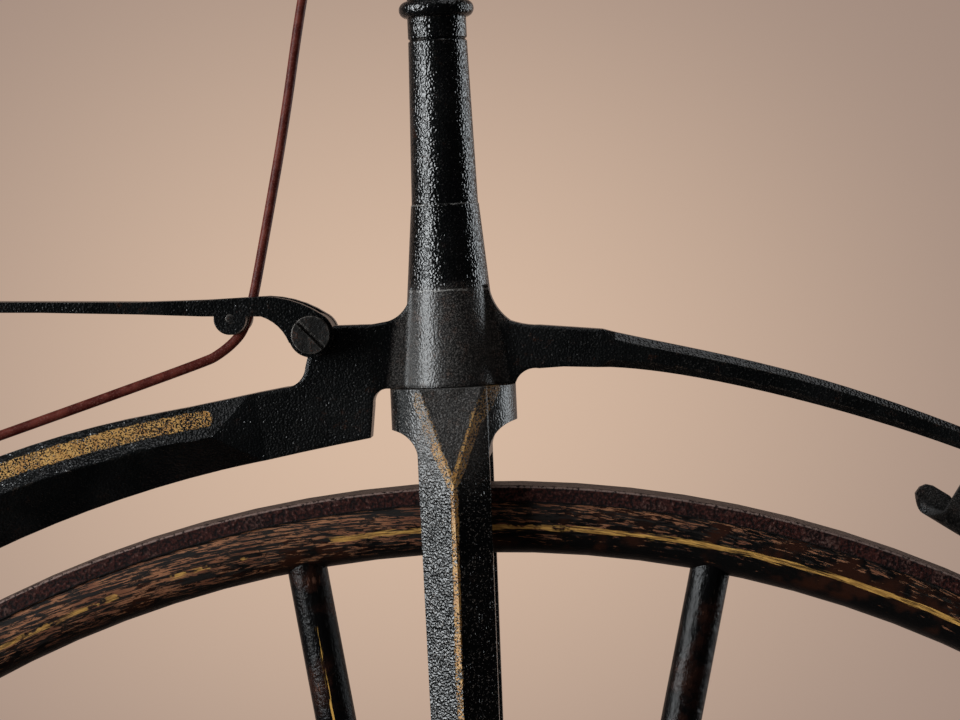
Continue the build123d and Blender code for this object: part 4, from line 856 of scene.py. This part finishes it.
# Spokes and naves. Turned hardwood under glossy black. The paint has cracked along the spokes and
# gone brown where hands and boots rubbed it, and a thin gold line runs down the middle of each.
FRONT_STEP, REAR_STEP = math.radians(360.0 / 16), math.radians(360.0 / 14)
FRONT_LINE_TO, REAR_LINE_TO = 0.424, 0.350
SPOKE_SHIFT = math.radians(0.55)
SPOKE_LINE_HALF, SPOKE_LINE_FULL = 0.0007, 0.0004
SPOKE_BLACK, SPOKE_BROWN = (0.0025, 0.0024, 0.0026), (0.020, 0.0080, 0.0055)
BARE_WOOD, CRACKED = (0.085, 0.036, 0.022), (0.055, 0.043, 0.036)
SPOKE_GOLD = (0.60, 0.35, 0.085)


def turned_wood(name, axle_x, axle_z, step, line_to):
    """Glossy black over wood. Round the wheel the angle folds into one spoke's sector, so the distance
    from that spoke's middle is radius times the folded angle. The two spokes beside the top stand a
    little nearer to it. The line runs out to line_to from the axle, and some spokes have lost theirs."""
    material, tree, shader, place = finish_of(name)
    dx, y, dz, radius = round_axle(place, axle_x, axle_z)
    angle = dx.math("ARCTAN2", dz)
    turned = angle.size()
    middle = 0.5 * step - turned.math("LESS_THAN", step) * SPOKE_SHIFT
    off = (turned.math("MODULO", step) - middle).size() * radius
    cracks = noise(tree, vector(tree, off, radius * 0.12, y), 900.0, 4.0, 0.7)
    rubbed = noise(tree, place, 46.0, 5.0, 0.65)
    fine = noise(tree, place, 600.0, 3.0, 0.6)
    colour = blend(tree, rubbed.rise(0.5, 0.68), SPOKE_BLACK, SPOKE_BROWN)
    bare = (rubbed + (cracks - 0.5) * 0.55).rise(0.68, 0.71)
    colour = blend(tree, bare, colour, BARE_WOOD)
    colour = blend(tree, cracks.rise(0.66, 0.71) * 0.6, colour, CRACKED)
    broken = noise(tree, vector(tree, angle * 3.0, radius * 0.25, y * 0.2), 260.0, 2.0, 0.5)
    spoke = (angle / step).math("FLOOR")
    spared = (spoke * 2.2 - 1.0).math("SINE").rise(-0.35, -0.25)
    line = off.rise(SPOKE_LINE_HALF, SPOKE_LINE_FULL) * radius.rise(line_to, line_to - 0.002)
    line = line * broken.rise(0.48, 0.52) * spared
    colour = blend(tree, line, colour, SPOKE_GOLD)
    plug(tree, shader.inputs["Base Color"], colour)
    plug(tree, shader.inputs["Roughness"], 0.16 + fine * 0.14 + bare * 0.3)
    shader.inputs["Specular IOR Level"].default_value = 0.18
    relief(tree, shader, [(rubbed, 0.0008), (cracks, 0.00022), (fine, 0.00030)])
    return material


coat(["front_spokes", "front_hub"], turned_wood("spoke_paint", AXLE_X, AXLE_Z, FRONT_STEP, FRONT_LINE_TO))
coat(["rear_spokes", "rear_hub"], turned_wood("rear_spoke_paint", REAR_X, REAR_Z, REAR_STEP, REAR_LINE_TO))
coat(["front_hub_bands", "rear_hub_bands"], black_iron("band_iron", rust=1.6, gloss=0.34))


# Bare ironwork. Bolts, pins, axles and cranks were never painted. They are dark with oil, brown in
# the hollows, and bright where they turn or where a spanner has caught them.
STEEL, OILED = (0.085, 0.078, 0.070), (0.032, 0.027, 0.022)
HOLLOW_RUST = (0.055, 0.020, 0.010)
POLISHED, LEAST_POLISH = (0.24, 0.22, 0.20), 0.7
POLISH_WIDTH = 0.0012


def scaled(colour, share):
    """A colour made darker or lighter: each of its numbers times the share."""
    return tuple(value * share for value in colour)


def bare_iron(name, dark=1.0):
    """Oiled iron with rust in its hollows and polish on its edges."""
    material, tree, shader, place = finish_of(name)
    grime = noise(tree, place, 180.0, 5.0, 0.65)
    fine = noise(tree, place, 1400.0, 2.0, 0.6)
    edges = edge_of(tree, POLISH_WIDTH)
    colour = blend(tree, grime.rise(0.40, 0.62), scaled(OILED, dark), scaled(STEEL, dark))
    colour = blend(tree, (grime * fine).rise(0.29, 0.36) * 0.7, colour, HOLLOW_RUST)
    polished = scaled(POLISHED, max(dark, LEAST_POLISH))
    colour = blend(tree, edges * grime.rise(0.35, 0.55), colour, polished)
    plug(tree, shader.inputs["Base Color"], colour)
    plug(tree, shader.inputs["Metallic"], 0.25 + edges * 0.5)
    plug(tree, shader.inputs["Roughness"], 0.34 + grime * 0.28)
    relief(tree, shader, [(grime, 0.0006), (fine, 0.00015)], edge=0.0006)
    return material


coat(["spring_bolt", "pulley_pin", "brake_pin"], bare_iron("bolt_iron", dark=0.16))
coat(["spring_shackle_pin", "rear_axle", "front_axle", "cranks"], bare_iron("crank_iron"))


# Brass. The front axle turns in brass bushes, and the pedals' treads and the cord's pulley are brass.
# It has gone brown in the hollows and stays yellow where feet, oil and the cord keep it clean.
BRASS_HOLLOW, BRASS_CLEAN = (0.030, 0.021, 0.013), (0.47, 0.31, 0.115)


def old_brass(name, clean):
    """Brass whose clean, yellow share grows on edges and falls in the hollows."""
    material, tree, shader, place = finish_of(name)
    tarnish = noise(tree, place, 140.0, 5.0, 0.6)
    fine = noise(tree, place, 1600.0, 2.0, 0.6)
    edges = edge_of(tree, POLISH_WIDTH)
    bright = (tarnish.rise(0.35, 0.70) * clean + edges * 0.6 * clean).least(1.0)
    colour = blend(tree, bright, scaled(BRASS_HOLLOW, 1.0 + 1.8 * clean), BRASS_CLEAN)
    plug(tree, shader.inputs["Base Color"], colour)
    plug(tree, shader.inputs["Metallic"], 0.35 + bright * 0.6)
    plug(tree, shader.inputs["Roughness"], 0.52 - bright * 0.20 + fine * 0.08)
    relief(tree, shader, [(tarnish, 0.0004), (fine, 0.00012)], edge=0.0005)
    return material


coat(["fork_bearings", "pedal_left_treads", "pedal_right_treads"], old_brass("bush_brass", clean=1.0))
coat(["cord_pulley"], old_brass("pulley_brass", clean=0.03))
coat(["pedal_left_frame", "pedal_right_frame"], black_iron("pedal_iron", rust=1.4))


# Saddle. A horsehair pad under hide on an iron plate. The hide is drawn down over the edge to a
# stitched welt, and it is darkest and smoothest where the rider sits.
SADDLE_BACK, SADDLE_NOSE = -0.1465, 0.1465
SADDLE_THICK = 0.0238
SADDLE_REAR_RISE, SADDLE_NOSE_RISE = 0.012, 0.005
DISH_DEEP, DISH_X, DISH_LONG, DISH_WIDE = 0.0022, -0.070, 0.050, 0.045
# Half the width along the saddle: x, half width
SADDLE_WIDTHS = np.array([
    (-0.1465, 0.0), (-0.1450, 0.026), (-0.1380, 0.060), (-0.1150, 0.0865), (-0.0900, 0.0930),
    (-0.0750, 0.0920), (-0.0450, 0.0765), (-0.0220, 0.0595), (0.0100, 0.0425), (0.0400, 0.0325),
    (0.0700, 0.0270), (0.1000, 0.0240), (0.1250, 0.0215), (0.1400, 0.0150), (0.1465, 0.0),
])
# The wall's profile from the middle underneath, round the edge, to the middle on top: share of the
# plan, share of the thickness
SADDLE_PROFILE = np.array([
    (0.0, 0.00), (0.50, 0.00), (0.90, 0.00), (0.955, 0.02), (0.985, 0.10), (1.0, 0.22),
    (0.998, 0.30), (0.978, 0.335), (0.988, 0.37), (0.992, 0.46), (0.985, 0.60), (0.955, 0.76),
    (0.90, 0.865), (0.80, 0.935), (0.62, 0.975), (0.40, 0.993), (0.20, 1.0), (0.0, 1.0),
])
SADDLE_ROUND, SADDLE_UP = 128, 60
MEAN_HALF = 0.09
WELT_WALL, WELT_HEIGHT = slice(24, 40), 0.335
STITCH, ROW_ABOVE_WELT = 0.0046, 0.0032
SAT_X, SAT_LONG = -0.055, 0.6
SAT_FROM, SAT_FULL = 0.085, 0.020
HIDE_DARK, HIDE_BROWN = (0.050, 0.021, 0.012), (0.105, 0.046, 0.025)
HIDE_SAT_ON, HIDE_CREASED = (0.022, 0.010, 0.007), (0.14, 0.075, 0.045)
WELT_DARK, LINEN = (0.010, 0.005, 0.004), (0.27, 0.19, 0.105)
PORES = 620.0


def smooth_rows(rows, count, times):
    """More points on a table's line: straight joins, then each point takes a quarter of each of its
    neighbours and half of itself, several times over. The ends stay."""
    steps = run_along(rows)
    places = np.linspace(0.0, steps[-1], count)
    line = np.stack([np.interp(places, steps, rows[:, i]) for i in range(rows.shape[1])], axis=1)
    for _ in range(times):
        line[1:-1] = 0.25 * line[:-2] + 0.5 * line[1:-1] + 0.25 * line[2:]
    return line


half = smooth_rows(SADDLE_WIDTHS, SADDLE_ROUND // 2 + 1, times=3)
plan = np.concatenate([half, half[-2:0:-1] * (1.0, -1.0)])
profile = smooth_rows(SADDLE_PROFILE, SADDLE_UP, times=1)
share, height = profile[:, 0:1], profile[:, 1:2]
saddle_x = plan[:, 0] * share
saddle_y = plan[:, 1] * share
along = (saddle_x - SADDLE_BACK) / (SADDLE_NOSE - SADDLE_BACK)
rear_up = SADDLE_REAR_RISE * np.clip(1 - 2 * along, 0, 1) ** 2
nose_up = SADDLE_NOSE_RISE * np.clip(2 * along - 1, 0, 1) ** 2
off_dish = ((saddle_x - DISH_X) / DISH_LONG) ** 2 + (saddle_y / DISH_WIDE) ** 2
dish = DISH_DEEP * np.exp(-off_dish) * (height > 0.9)
saddle_z = rear_up + nose_up - SADDLE_THICK + SADDLE_THICK * height - dish
points = np.stack([saddle_x, saddle_y, saddle_z], axis=-1).reshape(-1, 3)
round_run = run_along(plan)
up_run = run_along(profile * (MEAN_HALF, SADDLE_THICK))
coords = np.stack(np.broadcast_arrays(round_run[None], up_run[:, None]), axis=-1).reshape(-1, 2)
material, tree, shader, place = finish_of("saddle_hide")
x, y, _ = place.parts()
map_node = tree.nodes.new("ShaderNodeUVMap")
map_node.uv_map = "along_and_round"
u, v, _ = Wire(tree, map_node.outputs["UV"]).parts()
pores = tree.nodes.new("ShaderNodeTexVoronoi")
plug(tree, pores.inputs["Vector"], place)
pores.inputs["Scale"].default_value = PORES
pebble = Wire(tree, pores.outputs["Distance"])
creases = noise(tree, place, 95.0, 5.0, 0.65)
stain = noise(tree, place, 24.0, 4.0, 0.6)
sat_x = x - SAT_X
sat_on = (sat_x * sat_x * SAT_LONG + y * y).root().rise(SAT_FROM, SAT_FULL)
colour = blend(tree, stain.rise(0.35, 0.65), HIDE_DARK, HIDE_BROWN)
colour = blend(tree, sat_on * 0.6, colour, HIDE_SAT_ON)
colour = blend(tree, creases.rise(0.60, 0.68) * 0.5, colour, HIDE_CREASED)
welt_up = float(np.interp(WELT_HEIGHT, profile[WELT_WALL, 1], up_run[WELT_WALL]))
phase = (u / STITCH).math("FRACT")
row_off = (v - welt_up - ROW_ABOVE_WELT).size()
thread = row_off.rise(0.00055, 0.00035) * (phase - 0.5).size().rise(0.38, 0.33)
sunk = row_off.rise(0.0012, 0.0006)
groove = (v - welt_up).size().rise(0.0012, 0.0003)
colour = blend(tree, groove.most(sunk * 0.5) * 0.8, colour, WELT_DARK)
colour = blend(tree, thread, colour, LINEN)
plug(tree, shader.inputs["Base Color"], colour)
plug(tree, shader.inputs["Roughness"], 0.46 - sat_on * 0.14 + creases * 0.12)
relief(tree, shader, [(creases, 0.0008), (pebble, -0.00016), (sunk - thread * 1.4, -0.0004)])
faces = rings_to_faces(len(profile), len(plan))
saddle = piece("saddle_hide", points, faces, material, "frame", coords)
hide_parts("saddle")


# Grips. Turned from fruitwood with a collar at the inner end, bored to fit the bar and driven on
# it. Their varnish has worn thin, and the wood is paler there.
FRUITWOOD_DARK, FRUITWOOD = (0.060, 0.022, 0.010), (0.17, 0.078, 0.034)
VARNISH_WORN = (0.25, 0.15, 0.085)
material, tree, shader, place = finish_of("varnished_wood")
x, y, z = place.parts()
grain = noise(tree, vector(tree, x, y * 0.06, z), 520.0, 4.0, 0.65)
worn = noise(tree, place, 55.0, 4.0, 0.6)
colour = blend(tree, grain.rise(0.38, 0.62), FRUITWOOD_DARK, FRUITWOOD)
colour = blend(tree, worn.rise(0.55, 0.72) * 0.6, colour, VARNISH_WORN)
plug(tree, shader.inputs["Base Color"], colour)
plug(tree, shader.inputs["Roughness"], 0.26 + worn * 0.28)
relief(tree, shader, [(grain, 0.00025), (worn, 0.0005)], edge=0.0006)
coat(["grips"], material)
